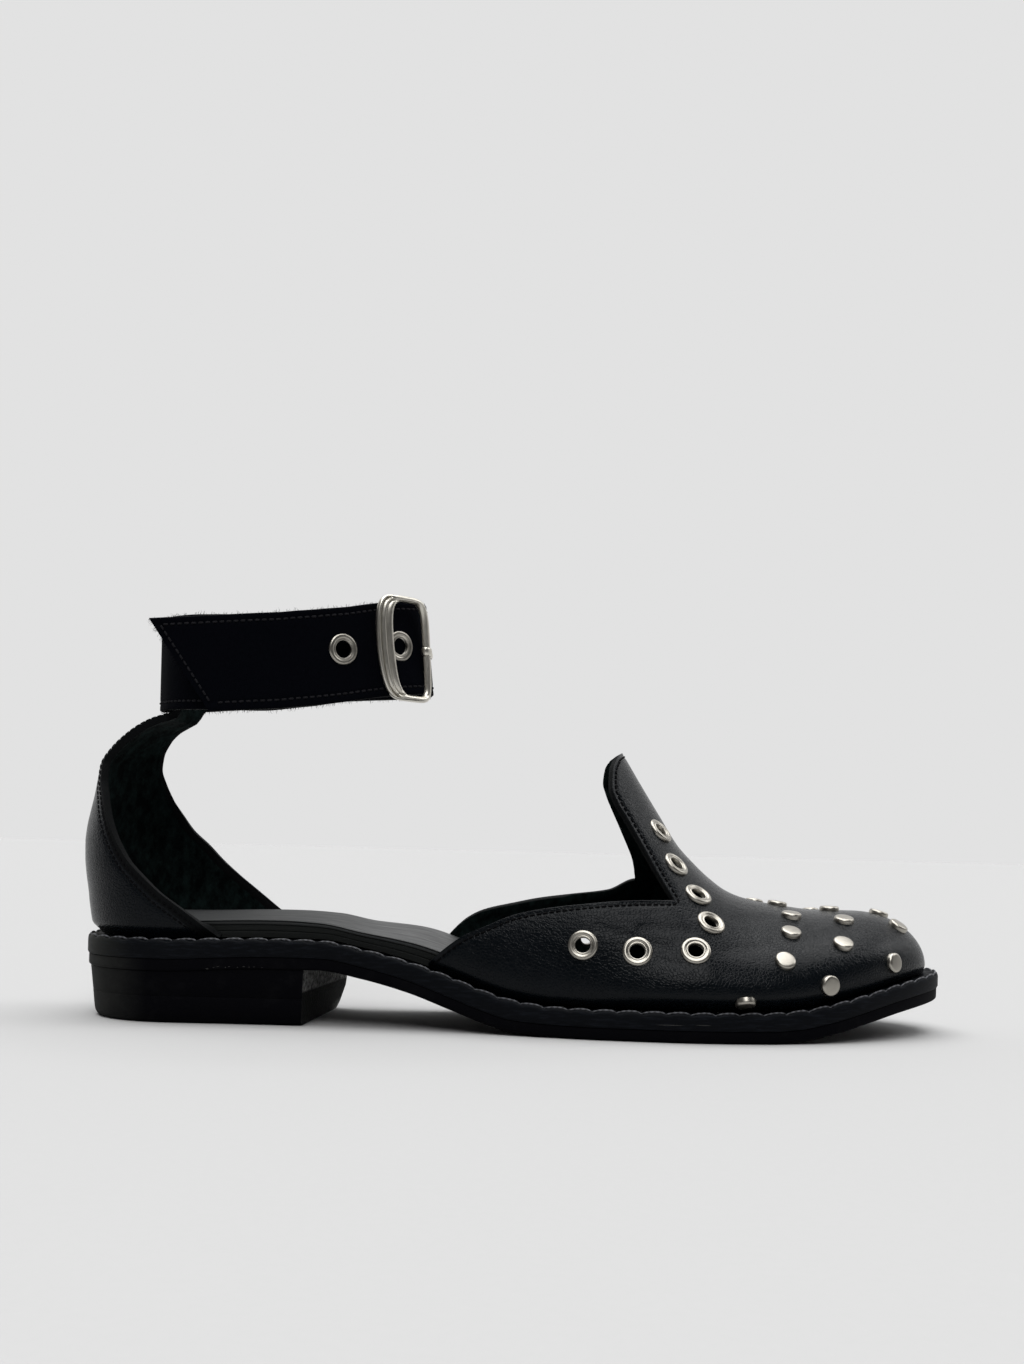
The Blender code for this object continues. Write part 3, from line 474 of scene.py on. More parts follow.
# The edge is mixed towards a paler grey towards the back of the heel.
rear = add(
    tree,
    "MapRange",
    {"Value": at.outputs["X"], "From Min": -108.0 * MM, "From Max": -127.0 * MM, "To Max": 0.5},
)
tone_paler_at_back = add(
    tree,
    "Mix",
    {MIX_FACTOR: rear.outputs[0], MIX_A: tone.outputs[MIX_RESULT], MIX_B: to_linear("#34352f")},
    data_type="RGBA",
)
gloss = add(tree, "MapRange", {"Value": fibre.outputs["Fac"], "To Min": 0.45, "To Max": 0.7})
bump = add(tree, "Bump", {"Height": fibre.outputs["Fac"], "Strength": 0.4, "Distance": 0.2 * MM})
tree.links.new(tone_paler_at_back.outputs[MIX_RESULT], shader.inputs["Base Color"])
tree.links.new(gloss.outputs[0], shader.inputs["Roughness"])
tree.links.new(bump.outputs["Normal"], shader.inputs["Normal"])

welt_stitches = round(SOLE_GIRTH / WELT_STITCH_PITCH)


def welt_base(x):
    return sole_at(x).tread + OUTSOLE_THICKNESS + GAP / 2


def welt_dip(k):
    """1 where a stitch goes down through the welt, 0 half way between two of these holes."""
    return abs(cos(pi * welt_stitches * k / RING_POINTS)) ** WELT_DIP_SHARPNESS


rings = []
for inset, share, dips in WELT_PROFILE:
    rings.append(
        sole_ring(
            inset,
            lambda x, k: blend(welt_base(x), sole_at(x).top, share) - dips * WELT_DIP * welt_dip(k),
        )
    )
vertices, faces = loft(rings)
faces += across(0, RING_POINTS) + across(len(vertices) - RING_POINTS, RING_POINTS)
welt = make_piece("stitched_welt", vertices, faces, welt_edge)
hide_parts("welt")

# Waxed thread: dark grey, twisted, with a dull shine on the crown of each stitch.
waxed_thread, tree, shader = finish("waxed_grey_thread", Roughness=0.55, Specular_IOR_Level=0.4)
place = add(tree, "TexCoord", {})
twist = add(tree, "TexWave", {"Vector": place.outputs["Object"], "Scale": per(5.0), "Distortion": 1.5})
tone = add(
    tree,
    "Mix",
    {MIX_FACTOR: twist.outputs["Fac"], MIX_A: to_linear("#26272a"), MIX_B: to_linear("#54555a")},
    data_type="RGBA",
)
bump = add(tree, "Bump", {"Height": twist.outputs["Fac"], "Strength": 0.3, "Distance": 0.1 * MM})
tree.links.new(tone.outputs[MIX_RESULT], shader.inputs["Base Color"])
tree.links.new(bump.outputs["Normal"], shader.inputs["Normal"])

STITCH_SIDES = 8
STITCH_LOOK = 0.2  # the thread's direction is read this far ahead and behind
EVEN_STITCH = (  # along its length, how far it rises, and its width
    (-0.5, -1.0, 0.55),
    (-0.44, -0.2, 0.9),
    (-0.25, 0.75, 1.0),
    (0.0, 1.0, 1.0),
    (0.25, 0.75, 1.0),
    (0.44, -0.2, 0.9),
    (0.5, -1.0, 0.55),
)
WELT_STITCH = (  # the same for a stitch that dives deep at both ends
    (-0.52, -3.2, 0.5),
    (-0.42, -1.2, 0.8),
    (-0.2, 0.4, 0.95),
    (0.05, 1.0, 1.0),
    (0.27, 0.8, 1.0),
    (0.42, -0.4, 0.9),
    (0.5, -2.2, 0.7),
    (0.54, -3.6, 0.5),
)


def stitches(path, normals, pitch, length, thickness, rise, sections=EVEN_STITCH):
    """Vertices and faces of a row of stitches: short bowed threads whose ends go down into the material."""
    path, normals = np.array(path), np.array(normals)
    run = np.concatenate(([0.0], np.cumsum(np.linalg.norm(np.diff(path, axis=0), axis=1))))
    vertices, faces = [], []
    for number in range(int(run[-1] / pitch)):
        middle = (number + 0.5) * pitch
        first = len(vertices)
        for at, up, wide in sections:
            mark = middle + at * length
            centre = Vector([np.interp(mark, run, path[:, k]) for k in range(3)])
            normal = Vector([np.interp(mark, run, normals[:, k]) for k in range(3)]).normalized()
            ahead = Vector([np.interp(mark + STITCH_LOOK, run, path[:, k]) for k in range(3)])
            behind = Vector([np.interp(mark - STITCH_LOOK, run, path[:, k]) for k in range(3)])
            side = normal.cross(ahead - behind).normalized()
            centre += normal * up * rise
            for k in range(STITCH_SIDES):
                turn = 2 * pi * k / STITCH_SIDES
                vertices.append(centre + thickness / 2 * wide * (cos(turn) * side + sin(turn) * normal))
        count = STITCH_SIDES
        for ring in range(len(sections) - 1):
            low = first + ring * count
            for k in range(count):
                after = (k + 1) % count
                faces.append((low + k, low + after, low + count + after, low + count + k))
        faces.append(tuple(range(first, first + count)))
        faces.append(tuple(range(len(vertices) - count, len(vertices))))
    return vertices, faces


path = sole_ring(WELT_STITCH_INSET, lambda x, k: sole_at(x).top)
path += path[:1]
ups = [(0.0, 0.0, 1.0)] * len(path)
ring_length = float(np.linalg.norm(np.diff(np.array(path), axis=0), axis=1).sum())
pitch = ring_length / welt_stitches
vertices, faces = stitches(path, ups, pitch * ROUNDING, pitch, WELT_THREAD, WELT_THREAD_RISE, WELT_STITCH)
welt_thread = make_piece("welt_stitches", vertices, faces, waxed_thread)

# Heel: a stacked lift glued under the outsole and a rubber top piece that takes the wear. The breast,
# its front face, is cut at a slant and left rough where the layers were trimmed.
BREAST_LATERAL = -59.4
BREAST_MEDIAL = -52.2
BREAST_LATERAL_SLOPE = 0.6
BREAST_MEDIAL_SLOPE = 3.6
HEEL_INSET = 1.0
HEEL_TAPER = 1.6
HEEL_HEIGHT = 14.9
TOP_PIECE_HEIGHT = 7.6
HEEL_SIDE_POINTS = 90
BREAST_POINTS = 24
TOP_PIECE_LEVELS = (  # height, and how far the edge is drawn in there
    (0.0, 2.0),
    (0.25, 1.1),
    (0.8, 0.45),
    (1.6, 0.1),
    (2.6, 0.0),
    (7.5, 0.0),
    (7.72, 0.12),
)
LIFT_LEVELS = (  # share of the way up, and how far the edge is drawn in there
    (0.0, 0.12),
    (0.03, 0.0),
    (0.97, 0.0),
    (1.0, 0.12),
)

# Trimmed heel stock: dull green-black below, torn to a rough grey nap in the lift's upper part.
NAP_FROM = 9.8
NAP_SOFTNESS = 0.3
breast, tree, shader = finish("trimmed_heel_breast", Roughness=0.9, Specular_IOR_Level=0.1)
place = add(tree, "TexCoord", {})
torn = add(tree, "TexVoronoi", {"Vector": place.outputs["Object"], "Scale": per(0.9), "Randomness": 1.0})
nap = add(
    tree,
    "TexNoise",
    {"Vector": place.outputs["Object"], "Scale": per(1.4), "Detail": 6.0, "Roughness": 0.75},
)
at = add(tree, "SeparateXYZ", {"Vector": place.outputs["Object"]})
above = add(
    tree,
    "MapRange",
    {
        "Value": at.outputs["Z"],
        "From Min": (NAP_FROM - NAP_SOFTNESS) * MM,
        "From Max": (NAP_FROM + NAP_SOFTNESS) * MM,
    },
)
low = add(tree, "MapRange", {"Value": at.outputs["Z"], "From Min": 4.0 * MM, "From Max": 1.5 * MM})
inner = add(tree, "MapRange", {"Value": at.outputs["Y"], "From Min": 12.0 * MM, "From Max": 22.0 * MM})
worn = add(tree, "Math", {0: low.outputs[0], 1: inner.outputs[0]}, operation="MULTIPLY")
pale = add(tree, "Math", {0: above.outputs[0], 1: worn.outputs[0]}, operation="MAXIMUM")
fluff = add(tree, "MapRange", {"Value": nap.outputs["Fac"], "From Min": 0.36, "From Max": 0.64})
flecks = add(tree, "Math", {0: pale.outputs[0], 1: fluff.outputs[0]}, operation="MULTIPLY")
tone = add(
    tree,
    "Mix",
    {MIX_FACTOR: flecks.outputs[0], MIX_A: to_linear("#040706"), MIX_B: to_linear("#8c8c8a")},
    data_type="RGBA",
)
bump = add(tree, "Bump", {"Height": torn.outputs["Distance"], "Strength": 0.9, "Distance": 0.5 * MM})
tree.links.new(tone.outputs[MIX_RESULT], shader.inputs["Base Color"])
tree.links.new(bump.outputs["Normal"], shader.inputs["Normal"])


def heel_ring(inset, down, height):
    """A loop of the heel: round its back from the lateral to the medial side, then across the breast."""
    start = HEEL_END + inset
    ends = (BREAST_LATERAL - down * BREAST_LATERAL_SLOPE, BREAST_MEDIAL - down**2 * BREAST_MEDIAL_SLOPE)
    points = []
    for k in range(HEEL_SIDE_POINTS, -HEEL_SIDE_POINTS - 1, -1):
        side = 0 if k >= 0 else 1
        x = blend(start, ends[side], 1 - cos(pi / 2 * abs(k) / HEEL_SIDE_POINTS))
        points.append((x, sole_edges(x, inset)[side]))
    (medial_x, medial_y), (lateral_x, lateral_y) = points[-1], points[0]
    for k in range(1, BREAST_POINTS):
        share = k / BREAST_POINTS
        points.append((blend(medial_x, lateral_x, share), blend(medial_y, lateral_y, share)))
    return [(x, y, height(x)) for x, y in points]


def heel_block(name, levels, material):
    """A layer of the heel from rows of (inset, share of the way down, height), lowest first."""
    rings = [heel_ring(*level) for level in levels]
    vertices, faces = loft(rings)
    count = len(rings[0])
    back = 2 * HEEL_SIDE_POINTS
    finish_of = [int(k % count >= back) for k in range(len(faces))]
    faces += [tuple(range(count)), tuple(range(len(vertices) - count, len(vertices)))]
    return make_piece(name, vertices, faces, material, breast, finish_of=finish_of + [0, 0], soft_edge=30)


def heel_down(z):
    return 1 - min(z / HEEL_HEIGHT, 1.0)


def heel_inset(z):
    return HEEL_INSET + HEEL_TAPER * heel_down(z)


levels = []
for z, tuck in TOP_PIECE_LEVELS:
    levels.append((heel_inset(z) + tuck, heel_down(z), lambda x, z=z: z))
top_piece = heel_block("heel_rubber_top_piece", levels, rubber)
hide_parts("heel_top_piece")
levels = []
for share, tuck in LIFT_LEVELS:
    z = blend(TOP_PIECE_HEIGHT, HEEL_HEIGHT, share)
    levels.append(
        (
            heel_inset(z) + tuck,
            heel_down(z),
            lambda x, share=share: blend(TOP_PIECE_HEIGHT + GAP / 2, sole_at(x).tread, share),
        )
    )
lift = heel_block("heel_stacked_lift", levels, rubber)
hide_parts("heel_lift")

# Insole: a padded board under a satin sock leather. Its side shows in the open waist: two inked layers of
# board, a turned strip of leather, and the sock's own edge over a dark groove.
WELT_MARGIN = 4.0
INSOLE_INSET = WELT_MARGIN + 2.8
INSOLE_ACROSS = 26
InsoleRow = namedtuple("InsoleRow", "x thickness arch")
INSOLE = smooth(
    (
        InsoleRow(-130, 4.6, 1.2),
        InsoleRow(-65, 5.0, 1.2),
        InsoleRow(-46, 4.3, 1.4),
        InsoleRow(-22, 5.4, 2.9),
        InsoleRow(0, 4.9, 2.0),
        InsoleRow(40, 4.4, 0.0),
        InsoleRow(131, 4.2, 0.0),
    )
)
InsoleStep = namedtuple("InsoleStep", "inset share inked")
INSOLE_PROFILE = (  # inset from the board's edge, height as a share of its side, and 1 where ink follows
    InsoleStep(0.0, 0.0, 1),
    InsoleStep(0.0, 0.3, 1),
    InsoleStep(0.18, 0.33, 1),
    InsoleStep(0.18, 0.37, 1),
    InsoleStep(0.0, 0.4, 1),
    InsoleStep(0.0, 0.66, 1),
    InsoleStep(0.3, 0.69, 1),
    InsoleStep(0.3, 0.72, 0),
    InsoleStep(-0.05, 0.75, 0),
    InsoleStep(-0.12, 0.81, 0),
    InsoleStep(-0.05, 0.87, 0),
    InsoleStep(0.35, 0.9, 1),
    InsoleStep(0.35, 0.93, 0),
    InsoleStep(0.0, 0.96, 0),
    InsoleStep(0.1, 0.985, 0),
    InsoleStep(0.5, 1.0, 0),
)

# Sock leather: dark grey, ironed to a satin in the open waist, and dull where the heel has rubbed it.
sock, tree, shader = finish("satin_sock_leather", Specular_IOR_Level=0.42)
place = add(tree, "TexCoord", {})
stretched = add(tree, "Mapping", {"Vector": place.outputs["Object"], "Scale": (0.18, 1.0, 1.0)})
ironed = add(
    tree,
    "TexNoise",
    {"Vector": stretched.outputs[0], "Scale": per(2.2), "Detail": 5.0, "Roughness": 0.6},
)
tone = add(
    tree,
    "Mix",
    {MIX_FACTOR: ironed.outputs["Fac"], MIX_A: to_linear("#0e1010"), MIX_B: to_linear("#282a2b")},
    data_type="RGBA",
)
gloss = add(
    tree,
    "MapRange",
    {"Value": ironed.outputs["Fac"], "From Min": 0.3, "From Max": 0.7, "To Min": 0.36, "To Max": 0.58},
)
pores = add(tree, "TexVoronoi", {"Vector": place.outputs["Object"], "Scale": per(0.8), "Randomness": 1.0})
bump = add(tree, "Bump", {"Height": pores.outputs["Distance"], "Strength": 0.12, "Distance": 0.1 * MM})
at = add(tree, "SeparateXYZ", {"Vector": place.outputs["Object"]})
rubbed = add(
    tree,
    "MapRange",
    {"Value": at.outputs["X"], "From Min": -90.0 * MM, "From Max": -36.0 * MM, "To Min": 0.42, "To Max": 0.0},
)
dull = add(tree, "Math", {0: gloss.outputs[0], 1: rubbed.outputs[0]}, operation="ADD")
tree.links.new(tone.outputs[MIX_RESULT], shader.inputs["Base Color"])
tree.links.new(dull.outputs[0], shader.inputs["Roughness"])
tree.links.new(bump.outputs["Normal"], shader.inputs["Normal"])

# Board edge: inked black, dull and slightly fibrous.
board, tree, shader = finish("inked_board_edge", Roughness=0.75, Specular_IOR_Level=0.25)
place = add(tree, "TexCoord", {})
layers = add(tree, "Mapping", {"Vector": place.outputs["Object"], "Scale": (0.1, 0.1, 1.0)})
fibre = add(tree, "TexNoise", {"Vector": layers.outputs[0], "Scale": per(0.7), "Detail": 4.0})
tone = add(
    tree,
    "Mix",
    {MIX_FACTOR: fibre.outputs["Fac"], MIX_A: to_linear("#060807"), MIX_B: to_linear("#151817")},
    data_type="RGBA",
)
bump = add(tree, "Bump", {"Height": fibre.outputs["Fac"], "Strength": 0.3, "Distance": 0.15 * MM})
tree.links.new(tone.outputs[MIX_RESULT], shader.inputs["Base Color"])
tree.links.new(bump.outputs["Normal"], shader.inputs["Normal"])


def insole_top(x, y):
    lateral, medial = sole_edges(x, WELT_MARGIN)
    share = (y - lateral) / max(medial - lateral, 1.0)
    row = INSOLE(x)
    return sole_at(x).top + GAP + row.thickness + row.arch * eased(share)


rings = []
for step in INSOLE_PROFILE:
    ring = SOLE_RING - (INSOLE_INSET + step.inset) * SOLE_OUT
    rings.append([(x, y, blend(sole_at(x).top + GAP, insole_top(x, y), step.share)) for x, y in ring])
vertices, faces = loft(rings)
finish_of = [INSOLE_PROFILE[k // RING_POINTS].inked for k in range(len(faces))]
faces += across(0, RING_POINTS)
top = len(vertices) - RING_POINTS
rows = []
for k in range(1, RING_POINTS // 2):
    start, end = Vector(vertices[top + k]), Vector(vertices[top + RING_POINTS - k])
    row = [top + k]
    for step in range(1, INSOLE_ACROSS):
        x, y, _ = start.lerp(end, step / INSOLE_ACROSS)
        row.append(len(vertices))
        vertices.append((x, y, insole_top(x, y)))
    rows.append(row + [top + RING_POINTS - k])
for lower, upper in zip(rows, rows[1:]):
    for k in range(INSOLE_ACROSS):
        faces.append((lower[k], lower[k + 1], upper[k + 1], upper[k]))
faces.append((*rows[0], top))
faces.append((*rows[-1][::-1], top + RING_POINTS // 2))
finish_of += [0] * (len(faces) - len(finish_of))
insole = make_piece("padded_insole", vertices, faces, sock, board, finish_of=finish_of)
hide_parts("insole")

# Vamp: the front upper, cut from one black grained calf skin, lasted over the toe, with a wing on each
# side and a tab up the instep. A lining is stuck inside, and one row of stitches follows the cut edge.
WALL = 2.0
NOSE_REACH = 21.0
NOSE_FULLNESS = 2.2
RIDGE_SHIFT = 2.0
SIDE_BULGE = 1.4
SIDE_BULGE_AT = 8.0
BALL_BULGE = 2.5  # the little toe's joint pushes the lateral side out over the welt
BALL_FROM = 20.0
BALL_TO = 102.0
BALL_FADE = 30.0  # how fast the swell comes and goes along the shoe
BALL_FOOT = 1.0  # the swell starts at this rise over the welt
BALL_FULL = 3.6  # it is full after this much more
BALL_EASE = 6.0  # and it eases off from this rise
BALL_EASE_OVER = 14.0
TOP_LEAN = 2.2  # the wings lean in towards the topline
TOP_LEAN_FROM = 25.0
TOP_LEAN_OVER = 13.0
TOP_LEAN_END = 34.0
TOP_LEAN_FADE = 20.0
SHOULDER = 2.0  # a fuller turn between the side and the top of the foot
SHOULDER_AT = radians(28)
SHOULDER_WIDTH = radians(18)
SHOULDER_FROM = 38.0
SHOULDER_TO = 118.0
SHOULDER_FADE = 16.0
BASE_TUCK = 1.2  # the lasted edge is drawn in just over the welt
BASE_TUCK_HEIGHT = 2.6
UPPER_TIP = TOE_TIP - WELT_MARGIN
LastRow = namedtuple("LastRow", "x ridge fullness")
LAST = smooth(
    (
        LastRow(-26, 100.0, 1.8),
        LastRow(18, 99.0, 1.75),
        LastRow(27.5, 88.2, 1.72),
        LastRow(31.5, 82.0, 1.72),
        LastRow(37.3, 72.6, 1.74),
        LastRow(43.0, 63.6, 1.78),
        LastRow(48.8, 54.6, 1.85),
        LastRow(53.1, 50.0, 1.9),
        LastRow(57.8, 45.6, 1.96),
        LastRow(63.7, 41.4, 2.04),
        LastRow(68.6, 39.4, 2.1),
        LastRow(73.2, 38.3, 2.15),
        LastRow(82.4, 36.9, 2.22),
        LastRow(91.6, 36.0, 2.28),
        LastRow(110, 35.9, 2.35),
        LastRow(126, 35.6, 2.35),
    )
)
WING_START = -24.0
ToplineRow = namedtuple("ToplineRow", "x lateral medial")
TOPLINE = smooth(
    (
        ToplineRow(WING_START, 19.0, 19.0),
        ToplineRow(-20.0, 23.0, 25.0),
        ToplineRow(-14.0, 27.4, 30.6),
        ToplineRow(-9.0, 29.7, 33.0),
        ToplineRow(0.0, 33.6, 35.2),
        ToplineRow(8.0, 35.5, 36.9),
        ToplineRow(18.0, 37.0, 38.3),
        ToplineRow(30.0, 38.3, 40.0),
        ToplineRow(38.6, 38.7, 43.8),
        ToplineRow(45.3, 38.8, 44.0),
    )
)
TabRow = namedtuple("TabRow", "level ridge_x lateral_x lateral medial_x medial")
TAB_LEVELS = 7
TAB = smooth(
    (
        TabRow(0, 42.5, 45.3, 38.8, 38.6, 43.8),
        TabRow(1, 41.0, 40.9, 46.1, 37.9, 49.5),
        TabRow(2, 38.5, 36.1, 54.8, 34.3, 58.5),
        TabRow(3, 36.3, 32.1, 61.6, 31.0, 65.5),
        TabRow(4, 34.5, 29.1, 66.5, 28.6, 70.8),
        TabRow(5, 33.0, 27.5, 71.1, 27.5, 74.4),
        TabRow(6, 32.0, 27.9, 76.3, 28.2, 78.6),
        TabRow(7, 31.5, 29.6, 80.4, 29.8, 80.9),
    )
)
WING_COLUMNS = 40
TAB_COLUMNS = 96
WING_STEPS = 90
FRONT_STEPS = 130
TAB_STEPS = 70
TAB_CROWDING = 1.3  # over 1, columns stand closer at the cut edge
WING_CROWDING = 1.4
VAMP_RIM = 0.5
RIM_STEPS = 3
RIM_ANGLE = 50  # degrees; sharper edges than this are rounded
VAMP_STITCH_INSET = 1.35
Stitch = namedtuple("Stitch", "pitch length thickness rise")
VAMP_STITCH = Stitch(1.85, 1.35, 0.55, 0.03)
SEAM_WIDTH = 0.7
VAMP_SEAM_DEPTH = 0.22
SEAM_SINK = 0.12  # thread is pulled this far under the surface
Crease = namedtuple("Crease", "from_x from_angle to_x to_angle depth width")
CREASES = (  # soft lengthwise troughs where the foot bends, in degrees over the last
    Crease(24.0, 18.5, 43.0, 20.5, 0.22, 1.5),
    Crease(36.0, 23.0, 49.0, 30.0, 0.28, 1.6),
    Crease(41.0, 16.5, 47.0, 17.5, 0.2, 1.2),
    Crease(60.0, 29.0, 73.0, 36.0, 0.16, 2.6),
    Crease(58.0, 18.0, 73.0, 17.0, 0.18, 2.2),
    Crease(61.0, 47.0, 74.0, 58.0, 0.16, 2.4),
    Crease(84.0, 43.0, 97.0, 48.0, 0.2, 2.0),
)
CREASE_POINTS = 40

# Grained calf: aniline black with a fine pebbled grain, drawn into short lengthwise wrinkles that grow
# stronger up the foot, round the eyelets. A thin wax gives a soft sheen on what faces the light.
GRAIN_WARP = 1.2
calf, tree, shader = finish(
    "grained_black_calf", Specular_IOR_Level=0.1, Coat_Weight=0.03, Coat_Roughness=0.25, Coat_IOR=1.45
)
place = add(tree, "TexCoord", {})
warp = add(tree, "TexNoise", {"Vector": place.outputs["Object"], "Scale": per(3.0), "Detail": 2.0})
bent = add(
    tree,
    "VectorMath",
    {0: warp.outputs["Color"], 1: (GRAIN_WARP * MM,) * 3, 2: place.outputs["Object"]},
    operation="MULTIPLY_ADD",
)
pebble = add(
    tree,
    "TexVoronoi",
    {"Vector": bent.outputs[0], "Scale": per(0.95), "Randomness": 1.0},
    feature="DISTANCE_TO_EDGE",
)
groove = add(tree, "MapRange", {"Value": pebble.outputs["Distance"], "From Min": 0.0, "From Max": 0.22})
drawn = add(tree, "Mapping", {"Vector": bent.outputs[0], "Scale": (0.26, 0.5, 1.0)})
wrinkle = add(
    tree,
    "TexNoise",
    {"Vector": drawn.outputs[0], "Scale": per(1.05), "Detail": 3.0, "Roughness": 0.6},
)
at = add(tree, "SeparateXYZ", {"Vector": place.outputs["Object"]})
upper = add(
    tree,
    "MapRange",
    {"Value": at.outputs["Z"], "From Min": 20.0 * MM, "From Max": 32.0 * MM, "To Min": 0.4, "To Max": 2.6},
)
fore = add(tree, "MapRange", {"Value": at.outputs["X"], "From Min": -40.0 * MM, "From Max": -20.0 * MM})
drawing = add(tree, "Math", {0: upper.outputs[0], 1: fore.outputs[0]}, operation="MULTIPLY")
grain = add(tree, "Math", {0: groove.outputs[0], 1: 0.5}, operation="MULTIPLY")
relief = add(
    tree,
    "Math",
    {0: wrinkle.outputs["Fac"], 1: drawing.outputs[0], 2: grain.outputs[0]},
    operation="MULTIPLY_ADD",
)
patch = add(
    tree,
    "TexNoise",
    {"Vector": place.outputs["Object"], "Scale": per(16.0), "Detail": 4.0, "Roughness": 0.6},
)
dye = add(
    tree,
    "Mix",
    {MIX_FACTOR: patch.outputs["Fac"], MIX_A: to_linear("#04070a"), MIX_B: to_linear("#0a0e12")},
    data_type="RGBA",
)
worn = add(
    tree,
    "MapRange",
    {"Value": patch.outputs["Fac"], "From Min": 0.3, "From Max": 0.7, "To Min": 0.25, "To Max": 0.35},
)
rough = add(tree, "Math", {0: groove.outputs[0], 1: -0.08, 2: worn.outputs[0]}, operation="MULTIPLY_ADD")
bump = add(tree, "Bump", {"Height": relief.outputs[0], "Strength": 0.5, "Distance": 0.19 * MM})
tree.links.new(dye.outputs[MIX_RESULT], shader.inputs["Base Color"])
tree.links.new(rough.outputs[0], shader.inputs["Roughness"])
tree.links.new(bump.outputs["Normal"], shader.inputs["Normal"])

# Suede lining: green-black, brushed, with a soft nap that lightens where it was stroked.
suede, tree, shader = finish("brushed_suede_lining", Roughness=0.95, Specular_IOR_Level=0.05)
place = add(tree, "TexCoord", {})
brushed = add(
    tree,
    "Mapping",
    {"Vector": place.outputs["Object"], "Rotation": (0.0, 0.5, 0.0), "Scale": (1.0, 1.0, 0.6)},
)
stroke = add(
    tree,
    "TexNoise",
    {"Vector": brushed.outputs[0], "Scale": per(3.2), "Detail": 6.0, "Roughness": 0.7},
)
nap = add(tree, "TexNoise", {"Vector": place.outputs["Object"], "Scale": per(0.35), "Detail": 2.0})
light = add(tree, "MapRange", {"Value": stroke.outputs["Fac"], "From Min": 0.42, "From Max": 0.66})
tone = add(
    tree,
    "Mix",
    {MIX_FACTOR: light.outputs[0], MIX_A: to_linear("#040808"), MIX_B: to_linear("#182322")},
    data_type="RGBA",
)
bump = add(tree, "Bump", {"Height": nap.outputs["Fac"], "Strength": 0.5, "Distance": 0.2 * MM})
tree.links.new(tone.outputs[MIX_RESULT], shader.inputs["Base Color"])
tree.links.new(bump.outputs["Normal"], shader.inputs["Normal"])

# Cut edge: the raw side of the leather, inked black and burnished by hand, and the band that is folded
# over the counter's edge. It stays darker than the grain beside it.
cut_edge, tree, shader = finish("inked_cut_edge", Roughness=0.75, Specular_IOR_Level=0.08)
place = add(tree, "TexCoord", {})
fibre = add(tree, "TexNoise", {"Vector": place.outputs["Object"], "Scale": per(0.6), "Detail": 4.0})
tone = add(
    tree,
    "Mix",
    {MIX_FACTOR: fibre.outputs["Fac"], MIX_A: to_linear("#030405"), MIX_B: to_linear("#0d0f10")},
    data_type="RGBA",
)
bump = add(tree, "Bump", {"Height": fibre.outputs["Fac"], "Strength": 0.4, "Distance": 0.2 * MM})
tree.links.new(tone.outputs[MIX_RESULT], shader.inputs["Base Color"])
tree.links.new(bump.outputs["Normal"], shader.inputs["Normal"])

# Sewing thread: dull black cotton, sunk into the leather, so it reads darker than the grain round it.
sewing_thread, tree, shader = finish("black_sewing_thread", Roughness=0.7, Specular_IOR_Level=0.05)
place = add(tree, "TexCoord", {})
twist = add(tree, "TexWave", {"Vector": place.outputs["Object"], "Scale": per(2.4), "Distortion": 2.0})
tone = add(
    tree,
    "Mix",
    {MIX_FACTOR: twist.outputs["Fac"], MIX_A: to_linear("#020203"), MIX_B: to_linear("#08080a")},
    data_type="RGBA",
)
tree.links.new(tone.outputs[MIX_RESULT], shader.inputs["Base Color"])


def vamp_point(x, angle):
    """Point on the outside of the vamp: angle 0 at the lateral base, pi at the medial base."""
    lateral, medial = sole_edges(x, WELT_MARGIN)
    row = LAST(x)
    base = sole_at(x).top + GAP
    height = (row.ridge - base) * round_end(UPPER_TIP - x, NOSE_REACH, NOSE_FULLNESS)
    ridge_y = (lateral + medial) / 2 + RIDGE_SHIFT * round_end(UPPER_TIP - x, TOE_REACH)
    edge = lateral if angle < pi / 2 else medial
    y = blend(ridge_y, edge, abs(cos(angle)) ** (2 / row.fullness))
    rise = height * max(sin(angle), 0.0) ** (2 / row.fullness)
    out = SIDE_BULGE * rise / SIDE_BULGE_AT * exp(1 - rise / SIDE_BULGE_AT)
    out -= BASE_TUCK * (1 - eased(rise / BASE_TUCK_HEIGHT))
    lean = min(max((base + rise - TOP_LEAN_FROM) / TOP_LEAN_OVER, 0.0), 1.0) ** 2
    out -= TOP_LEAN * lean * (1 - eased((x - TOP_LEAN_END) / TOP_LEAN_FADE))
    turn = (min(angle, pi - angle) - SHOULDER_AT) / SHOULDER_WIDTH
    full = eased((x - SHOULDER_FROM) / SHOULDER_FADE) * eased((SHOULDER_TO - x) / SHOULDER_FADE)
    out += SHOULDER * full * exp(-(turn**2))
    if angle < pi / 2:
        ball = eased((x - BALL_FROM) / BALL_FADE) * eased((BALL_TO - x) / BALL_FADE)
        ball *= eased((rise - BALL_FOOT) / BALL_FULL) * (1 - eased((rise - BALL_EASE) / BALL_EASE_OVER))
        out += BALL_BULGE * ball
    return Vector((x, y - cos(angle) * out, base + rise))


def vamp_angle(x, z, medial_side=False):
    """Angle at which the section at x reaches the height z."""
    row = LAST(x)
    base = sole_at(x).top + GAP
    height = (row.ridge - base) * round_end(UPPER_TIP - x, NOSE_REACH, NOSE_FULLNESS)
    share = min(max((z - base) / height, 0.0), 1.0)
    angle = asin(share ** (row.fullness / 2))
    return pi - angle if medial_side else angle


def facing(origin, normal, along):
    """A frame at origin with Z along the normal and X near another direction."""
    z = normal.normalized()
    y = z.cross(along).normalized()
    return Matrix.Translation(origin) @ Matrix((y.cross(z), y, z)).transposed().to_4x4()


